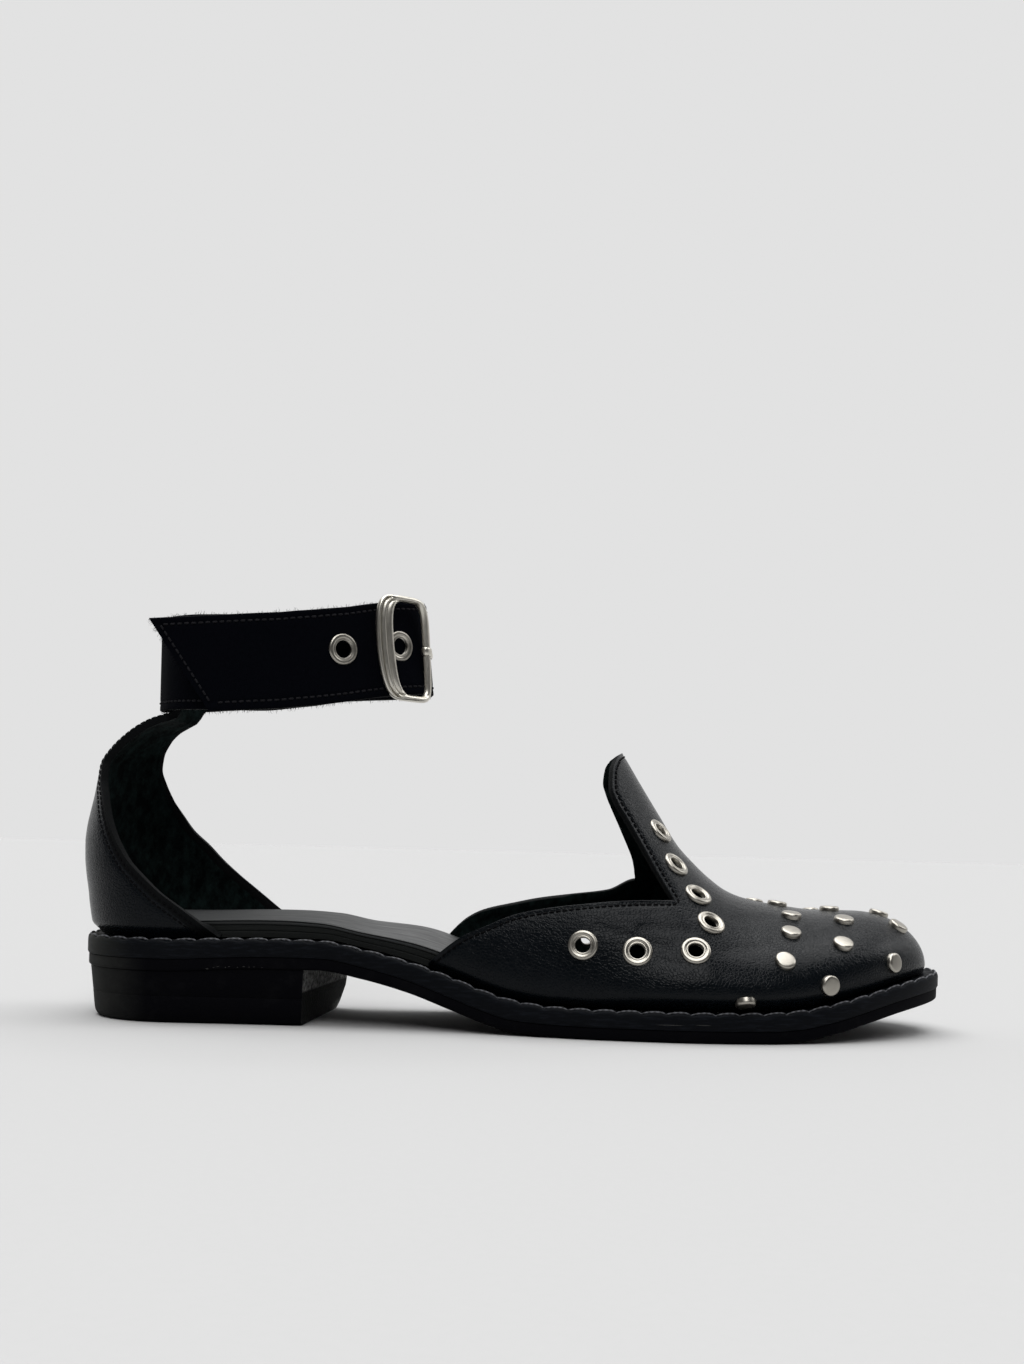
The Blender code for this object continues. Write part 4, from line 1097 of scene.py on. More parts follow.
def vamp_frame(x, angle, lift, step=0.02):
    """A frame on the vamp, lifted along its normal, with X towards the toe."""
    along = vamp_point(x + step, angle) - vamp_point(x - step, angle)
    over = vamp_point(x, angle + step) - vamp_point(x, angle - step)
    normal = along.cross(over).normalized()
    return facing(vamp_point(x, angle) + lift * normal, normal, along)


def tilted(seat, degrees):
    """A seat turned about its own middle, up towards the vertical; a tilt below zero turns it down."""
    normal = seat.col[2].to_3d()
    turn = Matrix.Rotation(radians(degrees), 3, normal.cross(Vector((0.0, 0.0, 1.0))))
    return facing(seat.translation, turn @ normal, seat.col[0].to_3d())


def strip_faces(rows):
    """Quads between neighbouring rows of vertex numbers."""
    faces = []
    for lower, upper in zip(rows, rows[1:]):
        for k in range(len(lower) - 1):
            faces.append((lower[k], upper[k], upper[k + 1], lower[k + 1]))
    return faces


def vamp_sheet():
    """Vertices and faces of the vamp's outside, and the numbers along its cut edge from wing to wing."""
    vertices = []

    def put(x, angle):
        vertices.append(vamp_point(x, angle))
        return len(vertices) - 1

    def arch(row):
        """Points of (x, angle) from the lateral to the medial edge of a tab row, over the ridge."""
        low = vamp_angle(row.lateral_x, row.lateral)
        high = vamp_angle(row.medial_x, row.medial, True)
        points = []
        for k in range(TAB_COLUMNS + 1):
            share = k / TAB_COLUMNS
            side = 1 - (1 - abs(2 * share - 1)) ** TAB_CROWDING
            edge_x, edge_angle = (row.lateral_x, low) if share < 0.5 else (row.medial_x, high)
            points.append((blend(row.ridge_x, edge_x, side**2), blend(pi / 2, edge_angle, side)))
        return points

    def up(k):
        """Share of the way up a wing, with closer columns near the cut edge."""
        return 1 - (1 - k / WING_COLUMNS) ** WING_CROWDING

    throat = TAB(0)
    middle = arch(throat)
    (first_x, first), (last_x, last) = middle[0], middle[-1]
    corner = [(first_x, first * up(k)) for k in range(WING_COLUMNS)] + middle
    corner += [(last_x, blend(pi, last, up(k))) for k in range(WING_COLUMNS - 1, -1, -1)]
    front = []
    for step in range(FRONT_STEPS):
        share = sin(pi / 2 * step / FRONT_STEPS)
        front.append([put(blend(x, UPPER_TIP, share), angle) for x, angle in corner])
    tip = put(UPPER_TIP, 0.0)
    faces = strip_faces(front)
    faces += [(front[-1][k], tip, front[-1][k + 1]) for k in range(len(corner) - 1)]
    wing_edges = []
    for medial_side in (False, True):
        end_x = throat.medial_x if medial_side else throat.lateral_x
        rows = []
        for step in range(WING_STEPS):
            x = blend(WING_START, end_x, step / WING_STEPS)
            line = TOPLINE(x)
            top = vamp_angle(x, line.medial if medial_side else line.lateral, medial_side)
            base = pi if medial_side else 0.0
            row = [put(x, blend(base, top, up(k))) for k in range(WING_COLUMNS + 1)]
            rows.append(row[::-1] if medial_side else row)
        wing_edges.append([row[0] if medial_side else row[-1] for row in rows])
        joint = front[0][-WING_COLUMNS - 1 :] if medial_side else front[0][: WING_COLUMNS + 1]
        faces += strip_faces(rows + [joint])
    rows = [front[0][WING_COLUMNS : WING_COLUMNS + TAB_COLUMNS + 1]]
    for step in range(1, TAB_STEPS + 1):
        rows.append([put(x, angle) for x, angle in arch(TAB(TAB_LEVELS * step / TAB_STEPS))])
    faces += strip_faces(rows[::-1])
    edge = wing_edges[0] + [row[0] for row in rows] + rows[-1][1:-1]
    edge += [row[-1] for row in rows[::-1]] + wing_edges[1][::-1]
    return vertices, faces, edge


def sheet_normals(vertices, faces):
    """Outward normals of an open sheet, and a tree to find the nearest point on it."""
    sheet = bmesh.new()
    points = [sheet.verts.new(v) for v in vertices]
    for face in faces:
        sheet.faces.new([points[k] for k in face])
    sheet.normal_update()
    normals = [v.normal.copy() for v in points]
    sheet.free()
    return normals, BVHTree.FromPolygons(vertices, faces)


def inner_line(edge, tree, inset, spacing=0.8):
    """Points and normals of a line on a sheet that keeps a distance from its cut edge."""
    edge = np.array([tuple(p) for p in edge])
    run = np.concatenate(([0.0], np.cumsum(np.linalg.norm(np.diff(edge, axis=0), axis=1))))
    marks = np.arange(0.0, run[-1], spacing)
    even = [Vector([np.interp(mark, run, edge[:, k]) for k in range(3)]) for mark in marks]
    points, normals = [], []
    for before, here, after in zip(even, even[1:], even[2:]):
        _, normal, _, _ = tree.find_nearest(here)
        aside = inset * normal.cross(after - before).normalized()
        finds = [tree.find_nearest(here + aside), tree.find_nearest(here - aside)]
        near, normal, _, _ = min(finds, key=lambda find: find[3])
        points.append(near - SEAM_SINK * normal)
        normals.append(normal)
    return points, normals


def pressed(vertices, normals, line, depth, width):
    """Sinks a sheet along a line in a soft trough; a depth below zero raises a ridge."""
    points = np.array([tuple(p) for p in line])
    low, high = points.min(axis=0) - 3 * width, points.max(axis=0) + 3 * width
    moved = list(vertices)
    for k, (vertex, normal) in enumerate(zip(vertices, normals)):
        if all(low[i] <= vertex[i] <= high[i] for i in range(3)):
            gap = np.sqrt(((points - np.array(vertex)) ** 2).sum(axis=1).min())
            moved[k] = vertex - normal * depth * float(np.exp(-((gap / width) ** 2)))
    return moved


def leather_wall(name, vertices, faces, outside, wall, rim, finish_of=None):
    """A leather wall from its outer sheet: lined inside, its cut edges a little rounded."""
    piece = make_piece(name, vertices, faces, outside, suede, cut_edge, finish_of=finish_of)
    if Vector(piece.data.polygons[0].normal).dot(sheet_normals(vertices, faces)[0][faces[0][0]]) < 0:
        piece.data.flip_normals()
    shell = piece.modifiers.new("wall", "SOLIDIFY")
    shell.thickness = wall * MM
    shell.offset = -1
    shell.material_offset = 1
    shell.material_offset_rim = 2
    soft = piece.modifiers.new("soft_edge", "BEVEL")
    soft.width = rim * MM
    soft.segments = RIM_STEPS
    soft.limit_method = "ANGLE"
    soft.angle_limit = radians(RIM_ANGLE)
    return piece


SLIVER = 0.01  # faces narrower than this, left by the bevel and the punch, are closed up
HOLE_CLEARANCE = 0.2  # between a hole and the barrel in it
VAMP_HOLE_DEPTH = 8.0


def drill(piece, frames, radius, depth, sides=32):
    """Round holes through a piece, each along the Z of its frame."""
    bits = bmesh.new()
    for place in frames:
        turn = Matrix.Translation(place.translation * MM) @ place.to_3x3().to_4x4()
        bmesh.ops.create_cone(
            bits,
            cap_ends=True,
            segments=sides,
            radius1=radius * MM,
            radius2=radius * MM,
            depth=depth * MM,
            matrix=turn,
        )
    mesh = bpy.data.meshes.new(piece.name + "_punch")
    bits.to_mesh(mesh)
    bits.free()
    punch = bpy.data.objects.new(mesh.name, mesh)
    bpy.context.scene.collection.objects.link(punch)
    cut = piece.modifiers.new("holes", "BOOLEAN")
    cut.operation = "DIFFERENCE"
    cut.object = punch
    bpy.context.view_layer.update()
    ready = piece.evaluated_get(bpy.context.evaluated_depsgraph_get())
    piece.data = bpy.data.meshes.new_from_object(ready)
    piece.modifiers.clear()
    bpy.data.objects.remove(punch)
    closed = bmesh.new()
    closed.from_mesh(piece.data)
    bmesh.ops.dissolve_degenerate(closed, dist=SLIVER * MM, edges=closed.edges)
    closed.to_mesh(piece.data)
    closed.free()


# The eyelets' places on the vamp, as x and degrees over the last, because its holes are punched for them.
# The leather gives under the upper ones, so they sit flatter than the last.
EYELET_RADIUS = 4.25
EYELET_BORE = 2.15
EYELET_BARREL = 0.4
VampEyelet = namedtuple("VampEyelet", "lateral_x lateral medial_x medial tilt")
VAMP_EYELETS = (
    VampEyelet(19.3, 13.7, 23.9, 166.6, 0.0),
    VampEyelet(34.4, 16.6, 36.6, 163.2, 0.0),
    VampEyelet(50.5, 23.9, 50.5, 156.1, 2.0),
    VampEyelet(55.5, 39.2, 55.5, 140.8, 4.0),
    VampEyelet(52.5, 50.4, 52.4, 130.3, 8.0),
    VampEyelet(46.5, 56.4, 46.2, 125.3, 7.0),
    VampEyelet(42.3, 64.6, 41.8, 117.7, 7.0),
)
eyelet_seats = []
for eyelet in VAMP_EYELETS:
    for x, angle in ((eyelet.lateral_x, eyelet.lateral), (eyelet.medial_x, eyelet.medial)):
        eyelet_seats.append(tilted(vamp_frame(x, radians(angle), 0.0), eyelet.tilt))

vertices, faces, edge = vamp_sheet()
normals, tree = sheet_normals(vertices, faces)
seam, seam_normals = inner_line([vertices[k] for k in edge], tree, VAMP_STITCH_INSET)
vertices = pressed(vertices, normals, seam, VAMP_SEAM_DEPTH, SEAM_WIDTH)
for crease in CREASES:
    line = []
    for k in range(CREASE_POINTS + 1):
        share = k / CREASE_POINTS
        angle = blend(crease.from_angle, crease.to_angle, share)
        line.append(vamp_point(blend(crease.from_x, crease.to_x, share), radians(angle)))
    vertices = pressed(vertices, normals, line, crease.depth, crease.width)
vamp = leather_wall("grained_vamp", vertices, faces, calf, WALL, VAMP_RIM)
drill(vamp, eyelet_seats, EYELET_BORE + EYELET_BARREL + HOLE_CLEARANCE, VAMP_HOLE_DEPTH)
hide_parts("vamp")
vertices, faces = stitches(seam, seam_normals, *VAMP_STITCH)
vamp_thread = make_piece("vamp_stitches", vertices, faces, sewing_thread)

# Heel counter: the back upper, moulded round the heel and drawn up into a neck that carries the strap.
# Smooth black calf outside, suede inside, its cut edges folded and sewn with two close rows.
CounterRow = namedtuple("CounterRow", "z back half depth lateral medial")
COUNTER_ROWS = (
    CounterRow(24.2, -125.2, 26.4, 26.6, -84.0, -66.5),
    CounterRow(27.5, -126.6, 27.2, 27.2, -88.0, -70.5),
    CounterRow(32.0, -127.4, 27.8, 27.8, -94.0, -76.3),
    CounterRow(37.0, -128.0, 28.0, 28.0, -101.0, -82.6),
    CounterRow(41.5, -128.7, 28.0, 28.0, -106.2, -88.3),
    CounterRow(46.2, -129.2, 27.8, 28.0, -111.1, -93.6),
    CounterRow(50.9, -129.3, 27.4, 27.5, -114.4, -98.1),
    CounterRow(55.5, -128.9, 26.8, 27.0, -117.0, -103.1),
    CounterRow(60.2, -128.0, 26.0, 26.5, -119.2, -106.4),
    CounterRow(64.9, -127.0, 25.2, 26.0, -121.0, -109.4),
    CounterRow(69.7, -126.2, 24.6, 25.0, -122.6, -111.7),
    CounterRow(74.4, -125.4, 24.2, 24.5, -122.8, -113.1),
    CounterRow(79.2, -122.4, 24.0, 24.5, -119.9, -112.4),
    CounterRow(84.1, -117.4, 24.5, 25.5, -114.9, -109.9),
    CounterRow(87.0, -113.3, 24.0, 26.2, -110.5, -107.0),
    CounterRow(88.7, -109.7, 23.6, 26.4, -106.6, -104.2),
    CounterRow(89.5, -106.9, 23.6, 26.4, -103.9, -102.4),
    CounterRow(90.0, -105.6, 23.6, 26.4, -102.5, -101.2),
    CounterRow(91.0, -105.2, 23.6, 26.4, -102.0, -100.2),
    CounterRow(93.5, -105.2, 23.6, 26.4, -101.9, -98.8),
    CounterRow(97.0, -105.2, 23.6, 26.4, -101.8, -98.0),
    CounterRow(110.5, -105.2, 23.6, 26.4, -101.8, -98.0),
)
COUNTER = smooth(COUNTER_ROWS)
COUNTER_WALL = 2.2
COUNTER_COLUMNS = 72
COUNTER_STEPS = 130
COUNTER_BAND = 9  # columns at each cut edge that the folded, inked band takes
COUNTER_RIM = 0.6
COUNTER_STITCH_INSETS = (1.6, 3.4)
COUNTER_STITCH = Stitch(1.85, 1.35, 0.5, 0.03)
COUNTER_SEAM_DEPTH = 0.18
COUNTER_TUCK = 1.5  # the lasted edge is drawn in just over the welt
COUNTER_TUCK_HEIGHT = 3.4


def counter_point(z, share):
    """Point on the outside of the counter: share 0 at the lateral edge, 1 at the medial edge."""
    row = COUNTER(z)

    def reach(edge_x):
        deep = (edge_x - row.back) / row.depth
        return acos(1 - deep) if deep < 1 else pi / 2 + deep - 1

    turn = blend(-reach(row.lateral), reach(row.medial), share)
    bent = min(abs(turn), pi / 2)
    x = row.back + row.depth * (1 - cos(bent) + abs(turn) - bent)
    y = row.half * sin(bent) * (1 if turn > 0 else -1)
    height = max(z, sole_at(x).top + GAP)
    tuck = COUNTER_TUCK * (1 - eased((height - sole_at(x).top - GAP) / COUNTER_TUCK_HEIGHT))
    return Vector((x + tuck * cos(bent), y - tuck * sin(bent) * (1 if turn > 0 else -1), height))


vertices, rows = [], []
for step in range(COUNTER_STEPS + 1):
    z = blend(COUNTER_ROWS[0].z, COUNTER_ROWS[-1].z, step / COUNTER_STEPS)
    rows.append([])
    for k in range(COUNTER_COLUMNS + 1):
        rows[-1].append(len(vertices))
        vertices.append(counter_point(z, (1 - cos(pi * k / COUNTER_COLUMNS)) / 2))
faces = strip_faces(rows)
normals, tree = sheet_normals(vertices, faces)
outwards = normals[rows[COUNTER_STEPS // 3][COUNTER_COLUMNS // 2]].x < 0
if not outwards:
    faces = [face[::-1] for face in faces]
    normals, tree = sheet_normals(vertices, faces)
counter_seams = []
for inset in COUNTER_STITCH_INSETS:
    for side in (0, -1):
        counter_seams.append(inner_line([vertices[row[side]] for row in rows], tree, inset))
for seam, _ in counter_seams:
    vertices = pressed(vertices, normals, seam, COUNTER_SEAM_DEPTH, SEAM_WIDTH)
finish_of = []
for k in range(len(faces)):
    column = k % COUNTER_COLUMNS
    finish_of.append(2 if min(column, COUNTER_COLUMNS - 1 - column) < COUNTER_BAND else 0)
counter = leather_wall("heel_counter_leather", vertices, faces, calf, COUNTER_WALL, COUNTER_RIM, finish_of)
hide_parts("heel_counter")


def joined(groups):
    """One set of vertices and faces from several."""
    all_vertices, all_faces = [], []
    for vertices, faces in groups:
        all_faces += [tuple(len(all_vertices) + k for k in face) for face in faces]
        all_vertices += vertices
    return all_vertices, all_faces


counter_thread = make_piece(
    "counter_stitches",
    *joined(stitches(*seam, *COUNTER_STITCH) for seam in counter_seams),
    sewing_thread,
)

# Ankle strap: one band of matt black leather, doubled and sewn near both edges, its raw edges a little
# furry. It starts under the buckle, runs round the ankle, and comes back through the buckle.
STRAP_WIDTH = 27.3
STRAP_THICKNESS = 2.4
STRAP_START = -36.0
STRAP_STRAIGHT = -457.0
OVERLAP_FROM = -300.0
OVERLAP_FULL = -362.0
FREE_END_TOP = 30.7
FREE_END_BOTTOM = 12.9
FREE_END_DROOP = 0.07  # how far it sinks for each millimetre along
STRAP_STEP = 0.75  # degrees between sections
FRONT_LEAN = 0.11  # the front of the loop leans back, as the ankle does
LEAN_FROM = -52.0
LEAN_REACH = 16.0
FREE_END_STEPS = 28
LoopRow = namedtuple("LoopRow", "angle x y")
LOOP = smooth(
    (
        LoopRow(-360, -32.3, 4.6),
        LoopRow(-345, -34.4, 10.2),
        LoopRow(-328, -38.6, 16.2),
        LoopRow(-310, -46.0, 21.8),
        LoopRow(-291, -56.0, 25.5),
        LoopRow(-264, -74.0, 27.2),
        LoopRow(-236, -92.0, 23.3),
        LoopRow(-208, -103.0, 12.8),
        LoopRow(-180, -107.2, 0.0),
        LoopRow(-152, -103.0, -12.8),
        LoopRow(-124, -92.0, -23.3),
        LoopRow(-96, -74.0, -27.4),
        LoopRow(-80, -65.0, -27.0),
        LoopRow(-68, -57.5, -24.6),
        LoopRow(-56, -49.8, -19.9),
        LoopRow(-44, -42.6, -14.6),
        LoopRow(-34, -37.2, -10.2),
        LoopRow(-24, -33.4, -5.9),
        LoopRow(-12, -31.7, -0.6),
        LoopRow(0, -32.3, 4.6),
    )
)
RiseRow = namedtuple("RiseRow", "angle middle")
STRAP_RISE = smooth(
    (
        RiseRow(-457, 103.2),
        RiseRow(-445, 103.7),
        RiseRow(-433, 104.8),
        RiseRow(-421, 106.4),
        RiseRow(-409, 108.4),
        RiseRow(-397, 110.0),
        RiseRow(-375, 111.4),
        RiseRow(-320, 111.9),
        RiseRow(-270, 111.0),
        RiseRow(-225, 106.6),
        RiseRow(-180, 104.4),
        RiseRow(-140, 103.7),
        RiseRow(-97, 103.2),
        RiseRow(-73, 104.8),
        RiseRow(-49, 108.4),
        RiseRow(-36, 110.0),
    )
)
STRAP_CORNER = 0.55
STRAP_CORNER_STEPS = 4
STRAP_ACROSS = 25  # points over the band's width
RAW_EDGE = 0.3  # this much of the width at each side shows the raw edge
STRAP_SEAMS = (STRAP_WIDTH / 2 - 2.1, 2.4 - STRAP_WIDTH / 2)  # heights of the two rows of stitches
STRAP_SEAM_SINK = 0.2
STRAP_SEAM_WIDTH = 0.6
STRAP_SEAM_POINTS = np.linspace(-1.0, 1.0, 7)  # closer points across a seam
STRAP_STITCH = Stitch(2.0, 1.45, 0.62, 0.12)
END_STITCH = Stitch(2.0, 1.45, 0.62, 0.08)
END_SEAM_INSET = 2.0  # of the row along the slanted end
END_SEAM_POINTS = 30

# Strap leather: matt black with a tight grain, dry and without polish.
strap_leather, tree, shader = finish("matt_black_strap_leather", Specular_IOR_Level=0.01, Roughness=0.75)
place = add(tree, "TexCoord", {})
grain = add(
    tree,
    "TexVoronoi",
    {"Vector": place.outputs["Object"], "Scale": per(0.8), "Randomness": 1.0},
    feature="DISTANCE_TO_EDGE",
)
fleck = add(
    tree,
    "TexNoise",
    {"Vector": place.outputs["Object"], "Scale": per(1.2), "Detail": 5.0, "Roughness": 0.7},
)
tone = add(
    tree,
    "Mix",
    {MIX_FACTOR: fleck.outputs["Fac"], MIX_A: to_linear("#030408"), MIX_B: to_linear("#090a0f")},
    data_type="RGBA",
)
relief = add(
    tree,
    "Math",
    {0: fleck.outputs["Fac"], 1: 0.6, 2: grain.outputs["Distance"]},
    operation="MULTIPLY_ADD",
)
bump = add(tree, "Bump", {"Height": relief.outputs[0], "Strength": 0.3, "Distance": 0.15 * MM})
tree.links.new(tone.outputs[MIX_RESULT], shader.inputs["Base Color"])
tree.links.new(bump.outputs["Normal"], shader.inputs["Normal"])


def loop_point(angle, offset):
    """Point and outward normal of the ankle loop in plan, at an angle in degrees."""

    def middle(turn):
        row = LOOP(turn - 360 if turn > 0 else turn + 360 if turn < -360 else turn)
        return Vector((row.x, row.y, 0.0))

    along = (middle(angle + 1.0) - middle(angle - 1.0)).normalized()
    normal = Vector((along.y, -along.x, 0.0))
    return middle(angle) + offset * normal, normal


def strap_offset(angle):
    """How far the band lies outside the loop: its free end goes over the start of the band."""
    return (STRAP_THICKNESS + 2 * GAP) * eased((OVERLAP_FROM - angle) / (OVERLAP_FROM - OVERLAP_FULL))


def free_length(height):
    """Length of the straight free end at a height over the band's middle."""
    return blend(FREE_END_BOTTOM, FREE_END_TOP, height / STRAP_WIDTH + 0.5)


def strap_point(run, height, lift):
    """Point on the band: run in degrees, or past the straight as 0 to 1 of the free end."""
    angle = max(run, STRAP_STRAIGHT)
    place, normal = loop_point(angle, strap_offset(angle) + lift)
    point = place + Vector((0.0, 0.0, STRAP_RISE(angle).middle + height))
    if run < STRAP_STRAIGHT:
        share = STRAP_STRAIGHT - run
        point += share * free_length(height) * Vector((normal.y, -normal.x, -FREE_END_DROOP))
    point.x -= FRONT_LEAN * height * eased((point.x - LEAN_FROM) / LEAN_REACH)
    return point


def strap_normal(run):
    angle = max(run, STRAP_STRAIGHT)
    return loop_point(angle, 0.0)[1]


STRAP_SECTIONS = round((STRAP_START - STRAP_STRAIGHT) / STRAP_STEP)
STRAP_RUNS = [blend(STRAP_START, STRAP_STRAIGHT, k / STRAP_SECTIONS) for k in range(STRAP_SECTIONS + 1)]
STRAP_RUNS += [STRAP_STRAIGHT - k / FREE_END_STEPS for k in range(1, FREE_END_STEPS + 1)]


def strap_profile():
    """Section of the band as (height, lift): a rounded rectangle, sunk along its two seams."""
    corner = STRAP_CORNER
    half, thick = STRAP_WIDTH / 2 - corner, STRAP_THICKNESS / 2 - corner
    heights = [np.linspace(-half, half, STRAP_ACROSS)] + [seam + STRAP_SEAM_POINTS for seam in STRAP_SEAMS]
    outer = []
    for h in np.unique(np.concatenate(heights)):
        sink = sum(exp(-(((h - seam) / STRAP_SEAM_WIDTH) ** 2)) for seam in STRAP_SEAMS)
        outer.append((float(h), STRAP_THICKNESS / 2 - STRAP_SEAM_SINK * sink))

    def rounded(sign):
        """One edge of the band: the upper one from the outer face to the inner, or the lower one back."""
        turns = [pi / 2 * k / STRAP_CORNER_STEPS for k in range(STRAP_CORNER_STEPS + 1)]
        edge = [(half + corner * sin(turn), thick + corner * cos(turn)) for turn in turns[1:]]
        edge += [(half + corner * cos(turn), -thick - corner * sin(turn)) for turn in turns[:-1]]
        return [(sign * h, sign * lift) for h, lift in edge]

    return outer + rounded(1) + [(h, -lift) for h, lift in outer[::-1]] + rounded(-1)


profile = strap_profile()
rings = [[strap_point(run, h, lift) for h, lift in profile] for run in STRAP_RUNS]
vertices, faces = loft(rings)
count = len(profile)
side_heights = [abs(h) > STRAP_WIDTH / 2 - RAW_EDGE for h, _ in profile]
finish_of = [int(side_heights[k % count] and side_heights[(k + 1) % count]) for k in range(len(faces))]
faces += [tuple(range(count)), tuple(range(len(vertices) - count, len(vertices)))]
finish_of += [1, 1]
strap = make_piece("ankle_strap_band", vertices, faces, strap_leather, cut_edge, finish_of=finish_of)
STRAP_EYELET_RADIUS = 4.5
STRAP_EYELET_BORE = 2.5
STRAP_HOLE_DEPTH = 2 * STRAP_THICKNESS + 0.6
StrapEyelet = namedtuple("StrapEyelet", "angle above")
STRAP_EYELETS = (
    StrapEyelet(-421.2, 1.5),
    StrapEyelet(-396.0, 0.6),
)
strap_seats = []
for eyelet in STRAP_EYELETS:
    seat = strap_point(eyelet.angle, eyelet.above, STRAP_THICKNESS / 2)
    strap_seats.append(facing(seat, strap_normal(eyelet.angle), Vector((0.0, 0.0, 1.0))))
drill(strap, strap_seats, STRAP_EYELET_BORE + EYELET_BARREL + HOLE_CLEARANCE, STRAP_HOLE_DEPTH)
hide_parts("ankle_strap")

# Strap thread: dull grey cotton, only a little lighter than the band.
strap_thread, tree, shader = finish("dull_grey_thread", Roughness=0.8, Specular_IOR_Level=0.1)
place = add(tree, "TexCoord", {})
twist = add(
    tree,
    "TexNoise",
    {"Vector": place.outputs["Object"], "Scale": per(2.6), "Detail": 3.0, "Roughness": 0.7},
)
tone = add(
    tree,
    "Mix",
    {MIX_FACTOR: twist.outputs["Fac"], MIX_A: to_linear("#08080b"), MIX_B: to_linear("#232226")},
    data_type="RGBA",
)
tree.links.new(tone.outputs[MIX_RESULT], shader.inputs["Base Color"])


def end_seam(height):
    """Share of the free end at which the row along its slanted end runs."""
    return 1 - END_SEAM_INSET / free_length(height)


rows = []
for face_side in (1, -1):
    lift = face_side * (STRAP_THICKNESS / 2 - STRAP_SEAM_SINK)
    for height in STRAP_SEAMS:
        runs = [run for run in STRAP_RUNS if STRAP_STRAIGHT - run < end_seam(height)]
        path = [strap_point(run, height, lift) for run in runs]
        rows.append(stitches(path, [face_side * strap_normal(run) for run in runs], *STRAP_STITCH))
    heights = np.linspace(*STRAP_SEAMS, END_SEAM_POINTS).tolist()
    path = [strap_point(STRAP_STRAIGHT - end_seam(h), h, face_side * STRAP_THICKNESS / 2) for h in heights]
    rows.append(stitches(path, [face_side * strap_normal(STRAP_STRAIGHT)] * len(path), *END_STITCH))
strap_stitches = make_piece("strap_stitches", *joined(rows), strap_thread)

# Loose fibres stand off the band's raw edges. They are drawn as thin bent spikes, from a fixed seed.
FIBRES = 900
FIBRE_LENGTH = (0.5, 1.6)
FIBRE_RADIUS = 0.05
FIBRE_SIDES = ((1, 0, 0), (-0.5, 0.87, 0), (-0.5, -0.87, 0))
FIBRE_FACES = [(0, 1, 4, 3), (1, 2, 5, 4), (2, 0, 3, 5), (3, 4, 6), (4, 5, 6), (5, 3, 6)]
LONG_EDGES = 0.8  # share of the fibres on the two long edges; the rest are on the slanted end
dice = random.Random(7)
groups = []
for _ in range(FIBRES):
    where = dice.random()
    if where < LONG_EDGES:
        run, height = dice.choice(STRAP_RUNS), dice.choice((-0.5, 0.5)) * (STRAP_WIDTH - RAW_EDGE)
        away = Vector((0.0, 0.0, copysign(1.0, height)))
    else:
        run, height = STRAP_RUNS[-1], (dice.random() - 0.5) * STRAP_WIDTH
        normal = strap_normal(run)
        away = Vector((normal.y, -normal.x, -0.6))
    root = strap_point(run, height, dice.uniform(-0.8, 0.9))
    drift = Vector((dice.uniform(-1, 1), dice.uniform(-1, 1), dice.uniform(-0.5, 0.5)))
    length = dice.uniform(*FIBRE_LENGTH)
    middle = root + 0.55 * length * (away + 0.4 * drift).normalized()
    end = middle + 0.5 * length * (away + 1.3 * drift).normalized()
    points = []
    for centre in (root, middle):
        points += [centre + FIBRE_RADIUS * Vector(side) for side in FIBRE_SIDES]
    points.append(end)
    groups.append((points, FIBRE_FACES))
fibres = make_piece("strap_edge_fibres", *joined(groups), strap_leather)

# Eyelets: pressed from nickel-plated brass, a wide rolled flange with a second step at the bore, set
# through the leather. Seven on each side of the vamp and two on the strap.
EYELET_PROFILE = (  # radius as a share from the bore to the flange's edge, and height in millimetres
    (0.0, -0.9),
    (0.0, 0.3),
    (0.05, 0.46),
    (0.14, 0.53),
    (0.22, 0.5),
    (0.27, 0.4),
    (0.33, 0.42),
    (0.42, 0.58),
    (0.56, 0.68),
    (0.72, 0.66),
    (0.86, 0.52),
    (0.95, 0.3),
    (1.0, 0.0),
    (0.98, -0.5),
    (0.2, -0.5),
    (0.2, -0.9),
)
TURNED_SIDES = 48
STRAP_EYELET_RISE = 0.75  # the strap's eyelets are pressed flatter, to this share

# Nickel plate: slightly warm and polished, with a haze of fine handling scratches that softens its shine.
nickel, tree, shader = finish("polished_nickel_plate", Metallic=1.0)
place = add(tree, "TexCoord", {})
haze = add(
    tree,
    "TexNoise",
    {"Vector": place.outputs["Object"], "Scale": per(1.6), "Detail": 5.0, "Roughness": 0.65},
)
tone = add(
    tree,
    "Mix",
    {MIX_FACTOR: haze.outputs["Fac"], MIX_A: to_linear("#96928a"), MIX_B: to_linear("#b2aea5")},
    data_type="RGBA",
    name="plate_tone",
)
gloss = add(tree, "MapRange", {"Value": haze.outputs["Fac"], "To Min": 0.26, "To Max": 0.4})
scratch = add(tree, "TexNoise", {"Vector": place.outputs["Object"], "Scale": per(0.3), "Detail": 2.0})
bump = add(tree, "Bump", {"Height": scratch.outputs["Fac"], "Strength": 0.06, "Distance": 0.05 * MM})
tree.links.new(tone.outputs[MIX_RESULT], shader.inputs["Base Color"])
tree.links.new(gloss.outputs[0], shader.inputs["Roughness"])
tree.links.new(bump.outputs["Normal"], shader.inputs["Normal"])


